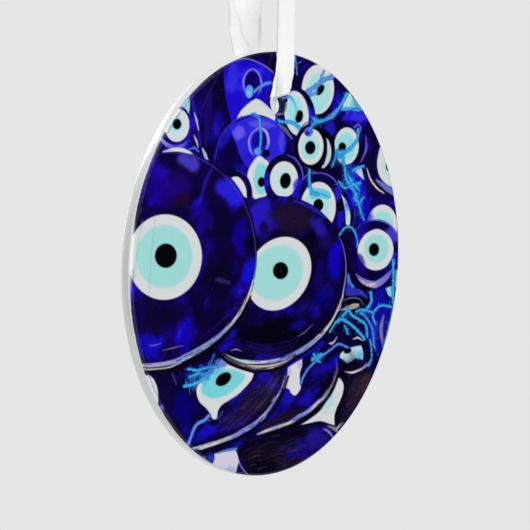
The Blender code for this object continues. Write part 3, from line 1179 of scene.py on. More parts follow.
def paint_ground(art):
    """Dark mottled glass all over."""
    art.fill(((-36, 36, -46, 46), lambda x, z: x * 0 - 9), glass(NIGHT, (17, 8, 130), 5, 3, share=0.45))
    art.blotch(31, -27, 9, 10, (12, 5, 20), 0.9, seed=4)
    art.blotch(25, 24, 3, 8, (22, 8, 70), 0.6, seed=5)


def paint_top_left(art):
    """The big dark bead behind everything, the hole through its rim and the white glass below."""
    art.blotch(-22, 30, 4, 11, (22, 6, 96), 0.5, seed=11)
    art.stroke([(-22.6, 33), (-20.8, 28), (-19.6, 23.5)], 0.9, (40, 22, 170), opacity=0.7)
    back = outline((-19.5, 30), (-17.5, 35.5), (-14.5, 39.6), (-9, 42.0), (-4.8, 41.2), (-1.5, 39.6),
                   (3, 36), (5, 30), (4, 22), (0, 16), (-9, 15), (-16, 18), (-19, 23))
    art.fill(back, glass(NIGHT, (20, 8, 142), 4, 12, 80, 2, share=0.5))
    art.inside(back)
    art.blotch(-18.2, 30, 1.1, 7, (34, 14, 150), 0.55, seed=13)
    art.fill(outline((-14.9, 40), (-14.0, 34), (-13.0, 31), (-11.8, 28.6), (-8, 27), (0, 29), (1.5, 34),
                     (-0.5, 38.5), (-4.5, 40.8), (-9, 41.7), (-12.5, 41.2)),
             glass((26, 12, 196), (44, 40, 226), 3, 14, share=0.6), soft=0.5)
    art.blotch(-3.6, 34.6, 2.0, 2.2, (20, 6, 140), 0.6, seed=15)
    art.blotch(-12.5, 37.8, 1.2, 3.0, (58, 54, 222), 0.6, seed=16)
    art.inside()
    art.stroke([(-14.2, 40.4), (-12, 41.5), (-9, 42.1), (-5, 41.2), (-1.6, 39.6)], 0.35,
               [(70, 60, 180), (96, 84, 216), (120, 104, 220), (106, 90, 206), (120, 100, 190)], soft=0.3)
    art.stroke([(-19.6, 31), (-18.4, 34), (-16.4, 37.6), (-14.3, 40.2)], 0.22, (56, 40, 120), opacity=0.6)
    # The hole through its rim, with a thread through it.
    art.stroke(
        [(-7.4, 40.2), (-8.9, 39.4), (-9.7, 37.4), (-9.2, 35.4), (-8.4, 34.2)],
        [0.4, 0.45, 0.5, 0.45, 0.2],
        [(96, 92, 226), (120, 104, 226), (150, 130, 228), (104, 90, 220), (60, 50, 210)],
        soft=0.3,
    )
    art.stroke(
        [(-7.4, 40.2), (-6.0, 39.3), (-5.1, 37.4), (-5.2, 36.0), (-5.9, 34.8)],
        [0.4, 0.5, 0.55, 0.5, 0.2],
        [(96, 92, 226), (128, 112, 226), (146, 126, 226), (120, 100, 220), (60, 50, 200)],
        soft=0.3,
    )
    art.fill(oval(-7.4, 37.4, 1.95, 2.2), (10, 3, 88), soft=0.5)
    art.blotch(-6.3, 37.4, 0.7, 1.1, (20, 6, 120), 0.7, seed=18)
    art.fill(oval(-8.0, 35.4, 0.95, 1.35), (104, 178, 222), soft=0.5)
    art.fill(oval(-8.2, 36.2, 0.5, 0.5), (84, 140, 226), soft=0.4)
    art.yarn([(-6.9, 35.4), (-5.2, 36.7), (-3.5, 37.5), (-1.4, 37.7), (0.5, 37.8)], 0.75, CORD_BLUE, seed=19)
    art.fill(oval(-6.7, 33.9, 0.6, 0.35), INK, soft=0.3)
    # White glass under that hole.
    art.fill(
        outline((-6.2, 34.1), (-6.2, 34.1), (-7.7, 33.2), (-9.5, 31.6), (-10.6, 29.9), (-10.9, 28.3),
                (-10.9, 28.3), (-8.5, 29.8), (-6, 30.5), (-2.7, 30.2), (-0.9, 29.5), (-0.9, 29.5),
                (-1.0, 31.2), (-2.5, 32.4), (-4.7, 33.7)),
        WHITE, soft=0.3,
    )
    art.stroke([(-6.4, 33.7), (-4.6, 33.3), (-2.4, 31.9)], 0.35, (196, 202, 214), opacity=0.7)


def paint_cobalt_bead(art):
    """The light blue bead under it, seen almost from above."""
    whole = oval(-5.5, 20.4, 10.3, 10.4)
    art.fill(whole, glass((10, 4, 66), (24, 12, 200), 3, 20, 60, 2.2, share=0.62))
    art.inside(whole)
    art.blotches(
        (-12.6, 21.0, 2.4, 4.0, (10, 3, 60), 0.6, 0, 28),
        (-13.2, 26.0, 1.2, 3.0, (36, 24, 196), 0.6, -25, 29),
        (-8.6, 18.0, 2.0, 2.6, (22, 14, 190), 0.7, -20, 30),
    )
    art.inside()
    art.stroke(
        [(-15.7, 20.6), (-14.6, 25.2), (-12.2, 28.4), (-9.4, 30.2)],
        0.28, (70, 56, 190), soft=0.35, opacity=0.7,
    )
    body = outline(
        (-12.3, 27.6), (-11, 28.6), (-8.5, 29.7), (-6, 30.6), (-2.7, 30.3), (-0.6, 29.7), (1.6, 27.8),
        (2.3, 25.3), (1.7, 22.6), (-0.8, 19.4), (-3.6, 18.6), (-6.6, 19.4), (-9.0, 21.6), (-10.6, 24.5),
    )
    art.fill(body, glass((40, 34, 208), (84, 74, 228), 4, 21, 20, 1.6, share=0.45))
    art.inside(body)
    art.blotches(
        (-10.0, 26.6, 1.5, 1.3, (112, 100, 230), 0.8, 20, 22),
        (-4.2, 28.8, 3.6, 0.7, (112, 100, 228), 0.5, 0, 23),
        (1.1, 25.8, 0.7, 2.0, (100, 90, 228), 0.5, 0, 24),
        (-6.6, 21.6, 1.6, 1.6, (34, 24, 190), 0.7, 0, 25),
    )
    art.inside()
    art.stroke(
        [(-6.5, 27.0), (-4.75, 28.0), (-3.0, 27.4), (-2.2, 25.3), (-2.8, 23.3)],
        [0.35, 0.45, 0.6, 0.75, 0.4],
        [(110, 100, 230), (140, 130, 228), (176, 166, 226), (150, 140, 226), (96, 86, 220)],
        soft=0.35,
    )
    art.stroke([(-6.5, 27.0), (-7.25, 25.2), (-6.7, 23.3), (-5.6, 22.2)], [0.4, 0.55, 0.5, 0.3],
               [(110, 100, 230), (150, 138, 228), (140, 128, 226), (96, 86, 220)], soft=0.35)
    art.fill(oval(-4.7, 25.2, 1.75, 2.1), (18, 8, 150), soft=0.5)
    art.blotch(-3.4, 25.8, 0.6, 1.2, (10, 3, 80), 0.8, seed=26)
    art.fill(oval(-4.8, 23.2, 0.9, 0.8), (96, 150, 224), soft=0.5)
    art.fill(oval(-2.6, 22.9, 1.0, 0.8), (6, 2, 40), soft=0.4)
    # Its eye below.
    art.fill(
        outline((-4.4, 22.3), (-5.9, 20.9), (-7.0, 18.6), (-6.7, 16.0), (-5.6, 14.0), (-4.0, 13.1),
                (-2.0, 13.9), (-1.2, 17), (-1.7, 20.8), (-2.9, 21.7)),
        WHITE, soft=0.3,
    )
    art.fill(
        outline((-4.2, 20.8), (-5.2, 19.2), (-5.2, 16.4), (-4.2, 14.7), (-2.4, 14.5), (-1.8, 17.5),
                (-2.4, 20.3)),
        DEEP_AQUA, soft=0.7, opacity=0.9,
    )
    art.fill(oval(-3.3, 16.9, 0.95, 1.0), INK, soft=0.35)
    art.yarn(
        [(-6.2, 30.7), (-5.1, 30.1), (-4.5, 28), (-4.2, 25.2), (-4.4, 23.2)],
        0.62, CYAN, seed=27, fray=2,
    )
    art.stroke([(-7.2, 30.7), (-6.2, 30.9), (-5.0, 30.2)], 0.5, (60, 120, 200), soft=0.3)


def paint_left_edge(art):
    """The small eye bead at the left edge, and the slivers beside it."""
    body = oval(-26.3, 26.6, 5.3, 5.9)
    art.fill(body, glass((18, 6, 96), (30, 18, 190), 2.5, 31, share=0.6))
    iris(art, (-25.7, 27.0, 3.1, 3.45), (-26.0, 26.9, 1.9, 2.0), (-25.7, 27.2, 1.08, 1.08), (176, 218, 222))
    art.stroke(
        [(-29.4, 23.9), (-28, 22.9), (-26, 22.45), (-24, 22.9), (-22.7, 24.0)],
        [0.5, 0.9, 0.9, 0.8, 0.4],
        [(170, 168, 214), (130, 120, 214), (80, 70, 214), (96, 88, 220), (60, 50, 200)],
        soft=0.4,
    )
    art.stroke(
        [(-28.6, 21.3), (-26.2, 21.9), (-24, 22.0), (-22.1, 21.6), (-21, 21.1)],
        [0.4, 0.8, 0.9, 0.7, 0.3],
        [(160, 170, 200), WHITE, WHITE, (190, 200, 216), (120, 130, 190)],
        soft=0.3,
    )
    art.fill(
        outline((-24.9, 30.9), (-24.9, 30.9), (-23.1, 33.0), (-23.1, 33.0), (-22.8, 31.4), (-22.9, 29.5),
                (-22.9, 29.5), (-23.8, 30.4)),
        (150, 208, 218), soft=0.3,
    )
    art.stroke(
        [(-21.6, 29.9), (-20.9, 28.4), (-20.2, 26.4)],
        [0.15, 0.5, 0.2], WHITE, soft=0.25, opacity=0.85,
    )
    art.stroke(
        [(-21.3, 25.3), (-20.6, 24.2), (-20.0, 22.9)],
        [0.15, 0.5, 0.2], WHITE, soft=0.25, opacity=0.85,
    )
    art.stroke([(-18.9, 22.7), (-18.2, 21.6), (-17.5, 20.3)], [0.35, 0.8, 0.7], (158, 176, 216), soft=0.3)
    art.stroke([(-22.4, 22.2), (-20.9, 22.7), (-19.8, 22.0)], [0.3, 0.7, 0.4], (70, 90, 210), soft=0.35)


def paint_small_hidden(art):
    """The small bead that shows between the two large ones."""
    art.fill(oval(-10.6, 13.6, 5.2, 5.6), glass(NIGHT, (19, 10, 152), 2, 35))
    art.fill(
        outline((-11.4, 17.0), (-9.6, 17.6), (-8.1, 16.7), (-7.1, 15.1), (-6.8, 13.3), (-6.8, 13.3),
                (-8.4, 14.0), (-10.4, 15.8)),
        WHITE, soft=0.3,
    )
    art.stroke([(-10, 18.9), (-7.5, 18), (-5.8, 15.6), (-5.4, 13.2)], 0.25, (70, 60, 190), opacity=0.6)


def paint_upper_right(art):
    """Two eye beads near the top, the scraps beside them and the threads over them."""
    # Bead cut by the top edge, with a blue cord over its eye.
    art.fill(oval(10.6, 36.6, 7.6, 7.2), glass(NIGHT, (17, 6, 148), 3, 41))
    art.blotch(15.6, 34.9, 1.6, 2.3, (26, 14, 190), 0.85, seed=42)
    iris(art, (9.75, 37.4, 4.3, 5.25), (9.9, 36.6, 3.2, 4.1), (10.4, 37.3, 1.35, 0.75, 50), (158, 216, 216))
    art.yarn([(3.1, 43.8), (3.6, 42), (4.0, 39.9)], 0.42, CORD_BLUE, seed=43)
    art.yarn([(3.7, 42.1), (4.8, 42.8)], 0.3, (70, 96, 200), seed=44)
    art.yarn([(7.1, 35.6), (8.3, 36.2), (9.6, 36.8)], 0.6, CORD_BLUE, seed=45)
    art.yarn([(6, 36.1), (8.2, 37.4), (10, 38.7), (11.5, 39.7), (13.6, 40.4)], 0.95, CORD_BLUE, seed=46)
    art.yarn([(11.0, 41.3), (10.5, 40.3), (10.2, 39.3)], 0.45, CORD_BLUE, seed=47)
    art.stroke([(11.6, 31.0), (13.4, 31.9), (15.1, 33.6)], [0.4, 1.0, 0.5], (128, 118, 214), soft=0.5)
    # The tipped bead with a tall eye.
    art.fill(oval(4.6, 31.6, 6.0, 4.9, 115), glass(NIGHT, (22, 10, 190), 2.5, 51, share=0.62))
    art.stroke(
        [(2.6, 36.6), (5.4, 35.9), (7.5, 33.6), (8.6, 30.6), (8.5, 28.6)],
        0.28, (70, 62, 190), opacity=0.75,
    )
    art.fill(oval(4.55, 31.9, 4.75, 3.15, 107), WHITE, soft=0.3)
    # Dark navy over the plate's hole. The print carries it down the hole's wall as painted shade inside the
    # hole, in the bead's navy.
    art.fill(oval(0.2, 33.4, 1.35, 2.6), (7, 2, 92), soft=0.6)
    art.fill(oval(4.1, 32.0, 3.6, 2.3, 107), (156, 218, 220), soft=0.8, opacity=0.95)
    art.fill(oval(5.3, 31.3, 1.0, 1.35, -15), INK, soft=0.35)
    art.stroke([(0.8, 34.8), (2.5, 35.2), (3.7, 34.2), (4.5, 32.5), (4.1, 30.5)], [0.7, 0.6, 0.5, 0.5, 0.3],
               [(70, 130, 220), (76, 150, 220), (90, 176, 218), (100, 190, 216), (110, 196, 216)], soft=0.35)
    art.fill(oval(1.6, 34.4, 0.42, 0.4), INK, soft=0.3)
    art.stroke(
        [(0.2, 29.3), (1.9, 28.2), (3.8, 26.6)], [0.6, 1.0, 0.5], (96, 104, 150), soft=0.5, opacity=0.85,
    )
    art.yarn([(0.0, 30.0), (1.5, 29.8), (3.5, 29.9), (5, 29.3), (6.2, 28.4)], 0.72, CYAN, seed=52, fray=3)
    # Aqua scrap, cobalt bead and dark glass towards the right edge.
    art.fill(
        outline((17.4, 37.1), (17.4, 37.1), (18.7, 37.2), (20.0, 34.2), (20.0, 34.2), (18.2, 33.6),
                (16.6, 33.9)),
        (176, 214, 220), soft=0.35,
    )
    art.fill(
        outline((19.5, 36.5), (21.6, 35.0), (23.2, 33.8), (20, 33.6), (18.6, 34.6)),
        (110, 190, 222), soft=0.4, opacity=0.8,
    )
    cobalt = oval(21.6, 29.6, 5.4, 4.6, -24)
    art.fill(cobalt, glass((20, 6, 120), (36, 24, 214), 2.5, 55, share=0.75))
    art.inside(cobalt)
    art.blotch(24.6, 29.5, 2.2, 2.6, (10, 4, 50), 0.8, seed=56)
    art.blotch(21.2, 32.5, 2.4, 0.9, (52, 44, 222), 0.8, seed=57)
    art.inside()
    art.blotch(26.6, 25, 2.2, 6, (14, 5, 44), 0.9, seed=58)
    art.yarn([(16.4, 33.7), (18.6, 34.0), (20.4, 33.9), (22.2, 34.3)], 0.6, CYAN, seed=59, fray=4)
    art.yarn(
        [(9.4, 31.0), (11.5, 30.9), (14, 32), (15.5, 33.7), (16.5, 35.2), (17.5, 37.2)],
        0.78, CYAN, seed=60, fray=6,
    )
    art.stroke([(14.2, 31.4), (15.4, 33.0), (16.6, 34.6)], 0.4, (60, 110, 220), opacity=0.7)


def paint_middle_right(art):
    """The cluster of small eye beads above the large right one."""
    # Eye bead with cyan thread ends over it.
    art.fill(oval(18.6, 26.3, 5.0, 5.4), glass(NIGHT, (20, 10, 186), 2, 61, share=0.62))
    art.stroke([(23.4, 28.6), (23.7, 25.8), (22.6, 23.1)], [0.2, 0.6, 0.3], (96, 92, 180), soft=0.4)
    iris(art, (18.4, 26.1, 3.3, 3.95), (18.2, 25.8, 2.7, 3.0), (17.3, 25.8, 1.0, 0.95), (140, 214, 216))
    art.stroke([(20.2, 30.2), (21.0, 30.9), (21.9, 30.2), (21.7, 29.3)], 0.3, (120, 108, 220), soft=0.3)
    art.yarn(
        [(21.2, 29.9), (21.2, 28), (20.0, 26.2), (18.2, 24.8), (16.4, 23.6)],
        0.75, CYAN, seed=62, fray=5,
    )
    art.yarn([(16.2, 25.0), (15.5, 23.4), (15.0, 21.6)], 0.8, (44, 130, 204), seed=63, fray=4)
    art.yarn([(17.4, 25.0), (17.9, 22.6), (18.9, 20.0)], 0.75, CYAN, seed=64, fray=4)
    # Eye bead with a black ring, its twin behind it.
    art.blotch(13.7, 29.2, 1.6, 1.7, (34, 24, 196), 0.85, seed=65)
    art.fill(oval(11.2, 24.6, 4.2, 4.7), (5, 3, 22), soft=0.4)
    art.fill(
        outline((12.4, 27.4), (13.5, 26.9), (14.4, 25.0), (14.3, 22.9), (13.2, 21.3), (12.2, 21.0),
                (12.9, 23.0), (13.0, 25.3)),
        (190, 200, 206), soft=0.35,
    )
    art.stroke([(12.4, 26.4), (13.2, 24.4), (12.6, 21.8)], 0.4, (14, 8, 60), opacity=0.8)
    art.fill(oval(8.95, 25.3, 4.3, 4.75), (5, 3, 20), soft=0.35)
    iris(art, (8.95, 25.2, 3.35, 3.8), (8.8, 25.0, 2.5, 2.5), (8.8, 25.0, 1.35, 1.38), (160, 216, 218))
    art.stroke([(5.3, 27.6), (6.8, 29.8), (9.2, 30.5), (11.4, 29.4)], 0.3, (52, 44, 150), opacity=0.7)
    art.fill(oval(8.1, 28.3, 1.2, 1.0, 20), (96, 92, 220), soft=0.4)
    art.blotch(7.7, 28.0, 0.6, 0.5, (24, 14, 120), 0.8, seed=66)
    art.yarn([(8.4, 28.9), (9.4, 30.2), (11.0, 30.7)], 0.6, CYAN, seed=67, fray=9)
    art.yarn([(9.0, 31.2), (10.6, 30.6), (12.2, 31.2)], 0.5, CYAN, seed=68, fray=9)
    # Small eye in front of the cobalt bead.
    art.fill(oval(2.5, 17.6, 5.2, 5.5), glass(NIGHT, (20, 10, 186), 2, 71, share=0.6))
    art.stroke(
        [(3.0, 23.0), (5.2, 22.2), (7.0, 20.2), (7.6, 17.6)],
        [0.25, 0.5, 0.5, 0.3], (74, 66, 200), soft=0.35,
    )
    iris(art, (2.5, 17.9, 3.65, 3.75), (2.2, 17.7, 2.4, 2.5), (2.9, 17.6, 1.4, 1.65, -8), (184, 220, 222))
    # Bead behind the big right one, with a thread across its eye.
    art.fill(oval(12.0, 12.6, 7.3, 7.2), glass((12, 5, 60), (30, 20, 210), 2.5, 73, share=0.66))
    art.stroke([(6.2, 17.0), (8.6, 19.2), (12, 19.9), (15.4, 19.0), (17.8, 16.4)], 0.35,
               [(60, 50, 190), (96, 84, 210), (70, 60, 196), (96, 84, 214), (60, 50, 190)], soft=0.35)
    art.blotches(
        (16.8, 15.4, 1.0, 1.9, (40, 30, 212), 0.85, 0, 74),
        (18.2, 10.6, 0.9, 2.0, (26, 16, 205), 0.8, 0, 69),
        (6.1, 15.6, 1.1, 2.6, (24, 16, 205), 0.75, 0, 70),
    )
    iris(art, (12.0, 12.6, 4.7, 5.4), (11.8, 12.8, 3.5, 3.9), (12.0, 13.1, 1.25, 1.25), (168, 216, 218))
    art.fill(
        outline((9.6, 16.2), (12, 16.6), (14.9, 16.0), (14.6, 14.6), (12.2, 14.6), (9.9, 14.4)),
        (92, 190, 216), soft=0.5, opacity=0.9,
    )
    art.yarn([(9.0, 20.3), (9.2, 17.9), (10.0, 15.8), (11.6, 15.4)], 0.72, CYAN, seed=75, fray=3)
    art.fill(oval(12.0, 13.1, 1.3, 1.25), INK, soft=0.35)
    art.stroke([(9.6, 15.2), (12.4, 15.5), (14.8, 14.9)], 0.4, CYAN, soft=0.35)
    art.fill(oval(17.7, 13.4, 1.0, 1.3), (8, 4, 36), soft=0.5)
    # White crescent beyond it.
    art.fill(
        outline((17.8, 15.9), (17.8, 15.9), (19.7, 14.1), (20.7, 11.6), (20.7, 8.9), (20.7, 8.9),
                (19.7, 9.6), (19.5, 11.6), (18.9, 13.6)),
        WHITE, soft=0.3,
    )
    art.stroke([(18.7, 14.6), (19.7, 12.4), (19.9, 10.4)], [0.4, 0.9, 0.7], (150, 214, 216), soft=0.4)
    art.stroke([(17.6, 17.4), (20.4, 15.4), (21.9, 12.0), (21.6, 8.6)], 0.4, (44, 30, 190), opacity=0.8)
    # Blue glass, a white corner and the frayed thread ends.
    art.blotches(
        (21, 19.6, 2.6, 2.2, (28, 18, 206), 0.85, 0, 76),
        (24.6, 11.6, 1.8, 2.6, (20, 10, 170), 0.7, 0, 90),
        (22.4, 15.6, 3.0, 3.4, (24, 14, 205), 0.85, 0, 77),
    )
    art.fill(
        outline((20.7, 21.2), (20.7, 21.2), (22.7, 22.2), (22.7, 22.2), (23.8, 19.2), (23.8, 19.2),
                (22.4, 20.0)),
        (196, 204, 210), soft=0.3,
    )
    scuffs = ((20.4, 18.6, 2.4, 2.2, 84), (22.6, 14.8, 1.5, 2.4, 85), (16.6, 23.6, 1.2, 1.6, 86))
    for x, z, across, up, seed in scuffs:
        art.blotch(x, z, across, up, (46, 140, 204), 0.35, seed=seed, ragged=1.6)
    art.yarn(
        [(18.4, 21.4), (18.8, 19.4), (20.0, 17.9), (21.2, 16.8), (22.2, 15.4)],
        0.7, CYAN, seed=78, fray=14,
    )
    art.yarn([(17.0, 18.4), (18.8, 17.2), (20.8, 18.0), (22.8, 18.6)], 0.6, CYAN, seed=79, fray=12)
    art.yarn([(19.5, 19.8), (20.7, 18.4), (22.6, 17.0)], 0.55, (60, 168, 220), seed=80, fray=10)
    art.yarn([(20.6, 21.0), (22.0, 21.8), (23.4, 22.2)], 0.6, CYAN, seed=81, fray=4)
    art.yarn([(21.4, 15.6), (22.7, 14.2), (24.0, 15.6)], 0.5, CYAN, seed=82, fray=10)
    art.yarn([(22.4, 14.8), (23.4, 12.6), (24.4, 10.8)], 0.5, CYAN, seed=83, fray=7)


def paint_right_edge(art):
    """The three eye beads at the right edge."""
    # Eye bead cut by the right edge, high up.
    art.fill(oval(33.5, 23.2, 8.0, 8.2), glass(NIGHT, (15, 8, 114), 2.5, 91))
    art.fill(
        outline((27.9, 27.0), (27.1, 24.9), (27.0, 22.7), (27.7, 20.6), (29.3, 19.1), (31.6, 18.2),
                (35.5, 18), (36, 27), (31, 28.2)),
        WHITE, soft=0.3,
    )
    art.fill(oval(31.2, 22.9, 2.4, 3.0), (170, 216, 220), soft=0.8)
    art.fill(oval(30.4, 22.8, 1.0, 1.25), INK, soft=0.35)
    art.stroke([(27.2, 19.4), (30, 18.0), (32.4, 16.9)], [0.6, 1.4, 1.2], (96, 112, 190), soft=0.5)
    art.stroke(
        [(24.4, 21.6), (25.5, 19.5), (27.5, 17.7), (29.4, 16.8)],
        [0.25, 0.45, 0.45, 0.25], CREAM, soft=0.3,
    )
    # Eye bead below it, mostly hidden.
    art.fill(oval(29.4, 9.6, 7.2, 7.0), glass((16, 5, 80), (26, 20, 215), 2.5, 93, share=0.6))
    art.fill(oval(29.5, 9.6, 4.25, 4.75), WHITE, soft=0.3)
    art.fill(oval(29.6, 9.4, 3.0, 3.6), (150, 214, 216), soft=0.8)
    # Whole eye bead on the right.
    body = oval(28.4, 3.8, 7.0, 7.3)
    art.fill(body, glass((12, 4, 60), (26, 18, 215), 3, 95, 30, 1.5, share=0.5))
    art.inside(body)
    art.blotches(
        (32.6, 8.2, 1.9, 1.9, (70, 62, 222), 0.85, -45, 96),
        (23.4, 7.6, 1.4, 2.0, (28, 18, 170), 0.6, 0, 97),
        (28.2, -1.6, 5.0, 1.3, (10, 4, 50), 0.85, 0, 98),
    )
    art.inside()
    art.stroke([(22.6, 8.6), (24.8, 10.3), (28.2, 10.95), (31.6, 10.1), (34.4, 7.6)], 0.3,
               [(50, 40, 160), (90, 80, 200), (112, 104, 216), (110, 100, 220), (90, 84, 210)], soft=0.3)
    art.fill(
        outline((23.3, 4.2), (24.0, 2.4), (25.6, 0.9), (28.3, 0.15), (31.4, 1.2), (33.1, 4.3), (32.0, 7.4),
                (28.7, 9.05), (25.6, 8.1), (23.9, 6.2)),
        WHITE, soft=0.3,
    )
    art.fill(oval(28.35, 4.85, 3.35, 3.05), AQUA, soft=0.7)
    art.fill(oval(27.75, 4.6, 1.38, 1.37), INK, soft=0.4)
    art.stroke(
        [(23.4, -0.9), (25.2, -2.2), (28.2, -2.9), (30, -2.3), (32, -0.8), (33.2, 0.9)],
        [0.4, 1.2, 1.5, 1.5, 1.2, 0.4],
        [(84, 76, 170), (120, 110, 186), (150, 144, 200), (126, 122, 214), (104, 104, 216), (60, 60, 190)],
        soft=0.4,
    )
    art.stroke(
        [(24.4, -1.9), (26.2, -2.9), (27.8, -3.0), (28.6, -2.6)],
        [0.2, 0.4, 0.5, 0.2], CREAM, soft=0.3, ragged=0.2, seed=99,
    )
    art.blotch(24.6, 1.4, 1.1, 2.4, (20, 10, 140), 0.7, tilt=25, seed=94)
    art.blotch(30.6, -4.2, 2.4, 0.9, (18, 10, 150), 0.7, tilt=20, seed=92)


def paint_dark_right(art):
    """The tangle of cyan threads between dark beads at the right."""
    art.blotches(
        (30.6, -11, 3.4, 7, (20, 14, 176), 0.8, 0, 101),
        (33, -18, 2.4, 5, (16, 10, 120), 0.7, 0, 100),
        (24, -6.6, 3.6, 2.2, (8, 4, 24), 0.9, 0, 102),
        (22, -14, 3, 2, (14, 5, 50), 0.8, 0, 103),
    )
    art.fill(
        outline((21.2, -1.2), (21.9, -2.6), (23.0, -3.8), (25.0, -4.2), (26.6, -5.2), (27.0, -6.0),
                (24.8, -5.4), (22.6, -5.6), (21.0, -5.4), (21.0, -3.2)),
        glass((44, 44, 176), (84, 96, 214), 1.2, 104),
        soft=0.5,
    )
    art.stroke([(21.2, -1.2), (21.8, -2.6), (22.8, -3.6)], 0.6, (60, 130, 214), soft=0.4)
    art.fill(
        outline((19.9, -8.7), (21.6, -7.9), (23.2, -7.2), (24.7, -7.2), (24.5, -7.9), (23.0, -8.4),
                (21.2, -8.7)),
        (178, 168, 152), soft=0.35,
    )
    art.stroke(
        [(20.6, -8.4), (22.6, -7.9), (24.3, -7.6)], [0.1, 0.22, 0.1], (96, 88, 90), soft=0.25, opacity=0.7,
    )
    art.stroke(
        [(20.4, -6.7), (22.2, -6.1), (24.6, -6.1), (26.0, -7.4)],
        [0.15, 0.3, 0.3, 0.15], (96, 96, 130), soft=0.3,
    )
    art.stroke(
        [(31.6, -9.4), (31.2, -11.6), (31.4, -13.6), (32.0, -15.6)],
        [0.4, 0.9, 0.9, 0.4], (120, 116, 150), soft=0.5,
    )
    art.fill(
        outline((31.7, -3.5), (31.7, -3.5), (33.3, -3.1), (33.7, -5.5), (33.7, -5.5), (32.5, -4.9)),
        (130, 206, 216), soft=0.3,
    )
    art.stroke([(34.4, 0.4), (34.6, -1.0), (34.4, -2.8)], [0.6, 1.0, 0.6], (120, 200, 216), soft=0.35)
    art.yarn(
        [(18.2, 7.2), (19.5, 8.7), (21, 9), (22.2, 8), (23, 6.5), (23.2, 5)],
        0.5, CYAN, seed=105, fray=3,
    )
    art.yarn([(33.2, 2.7), (33.6, -1.2), (33.7, -4), (34, -6.2), (34.4, -8)], 0.8, CYAN, seed=106, fray=5)
    art.yarn(
        [(34.2, -7.5), (31.2, -7.2), (29.5, -8), (28.7, -9.5), (29.5, -11.2)],
        0.62, CYAN, seed=107, fray=6,
    )
    art.yarn([(27.7, -4.5), (28, -6.5), (27, -8), (25.2, -9.2)], 0.75, CYAN, seed=108, fray=5)
    art.yarn(
        [(25.2, -9), (26.5, -9.7), (28, -11.2), (29, -13), (29.5, -15.5), (30.1, -18), (30.1, -19.6)],
        0.6, (70, 130, 214), seed=109, fray=3,
    )
    scuffs = ((21.0, -10.2, 1.6, 1.0, 87), (26.8, -9.4, 1.6, 1.0, 88), (29.4, -13.6, 0.8, 2.6, 89))
    for x, z, across, up, seed in scuffs:
        art.blotch(x, z, across, up, (40, 120, 196), 0.3, seed=seed, ragged=1.6)
    art.yarn(
        [(18.7, -11.5), (20.5, -10.7), (22.5, -11.5), (24.5, -12.7), (26.2, -14), (26.7, -14.8),
         (25.2, -16.2)],
        0.7, CYAN, seed=110, fray=6,
    )
    art.yarn(
        [(20.5, -10), (22, -8.7), (23, -9.7), (25, -10.5), (27, -11.7), (27.5, -14)],
        0.72, CYAN, seed=111, fray=8,
    )
    art.yarn([(17.4, -13.4), (18.5, -11.7), (19.8, -10.6)], 0.7, CYAN, seed=112, fray=4)
    art.yarn([(21.2, -12), (21.8, -12.8), (22.2, -13.7)], 0.5, CYAN, seed=113, fray=5)
    art.yarn([(24.2, -8.8), (26.0, -8.4), (28.4, -8.8)], 0.6, CYAN, seed=114, fray=5)
    art.yarn([(34.4, -6.2), (33.6, -10), (32.8, -14), (32.2, -16)], 0.62, (44, 128, 190), seed=115, fray=3)
    art.stroke([(23.8, -14.8), (25.0, -14.4), (26.2, -14.9)], [0.2, 0.45, 0.2], CREAM, soft=0.25)
    art.stroke([(14, -17.1), (17, -16.2), (18.5, -15.7), (19.4, -14.5)], [0.3, 0.5, 0.5, 0.3],
               [(150, 140, 200), CREAM, (180, 174, 190), (120, 110, 190)], soft=0.3)
    art.blotch(22.5, -23.4, 3.6, 1.6, (30, 24, 130), 0.75, seed=119)
    # Half-hidden eye low on the right.
    art.fill(oval(24.5, -19.6, 6.2, 4.6, 14), glass(NIGHT, (22, 16, 198), 2, 117))
    art.fill(
        outline((20.6, -18.2), (22, -17.0), (24, -16.4), (26.1, -16.0), (26.1, -16.0), (26.7, -17.4),
                (26.8, -19.1), (26.8, -19.1), (25, -18.8), (23.5, -19.6), (21.7, -20.3), (20.5, -20.0)),
        (176, 212, 218), soft=0.3,
    )
    art.blotch(25.7, -18.0, 1.0, 0.9, (86, 186, 220), 0.9, seed=118)
    art.fill(oval(22.5, -17.3, 1.05, 0.6, 10), INK, soft=0.35)
    art.stroke([(22.8, -21.2), (25.5, -21.2), (27.5, -20.6), (29.3, -19.0)], [0.3, 0.55, 0.5, 0.25],
               [(130, 126, 150), CREAM, (190, 186, 200), (120, 116, 170)], soft=0.3)


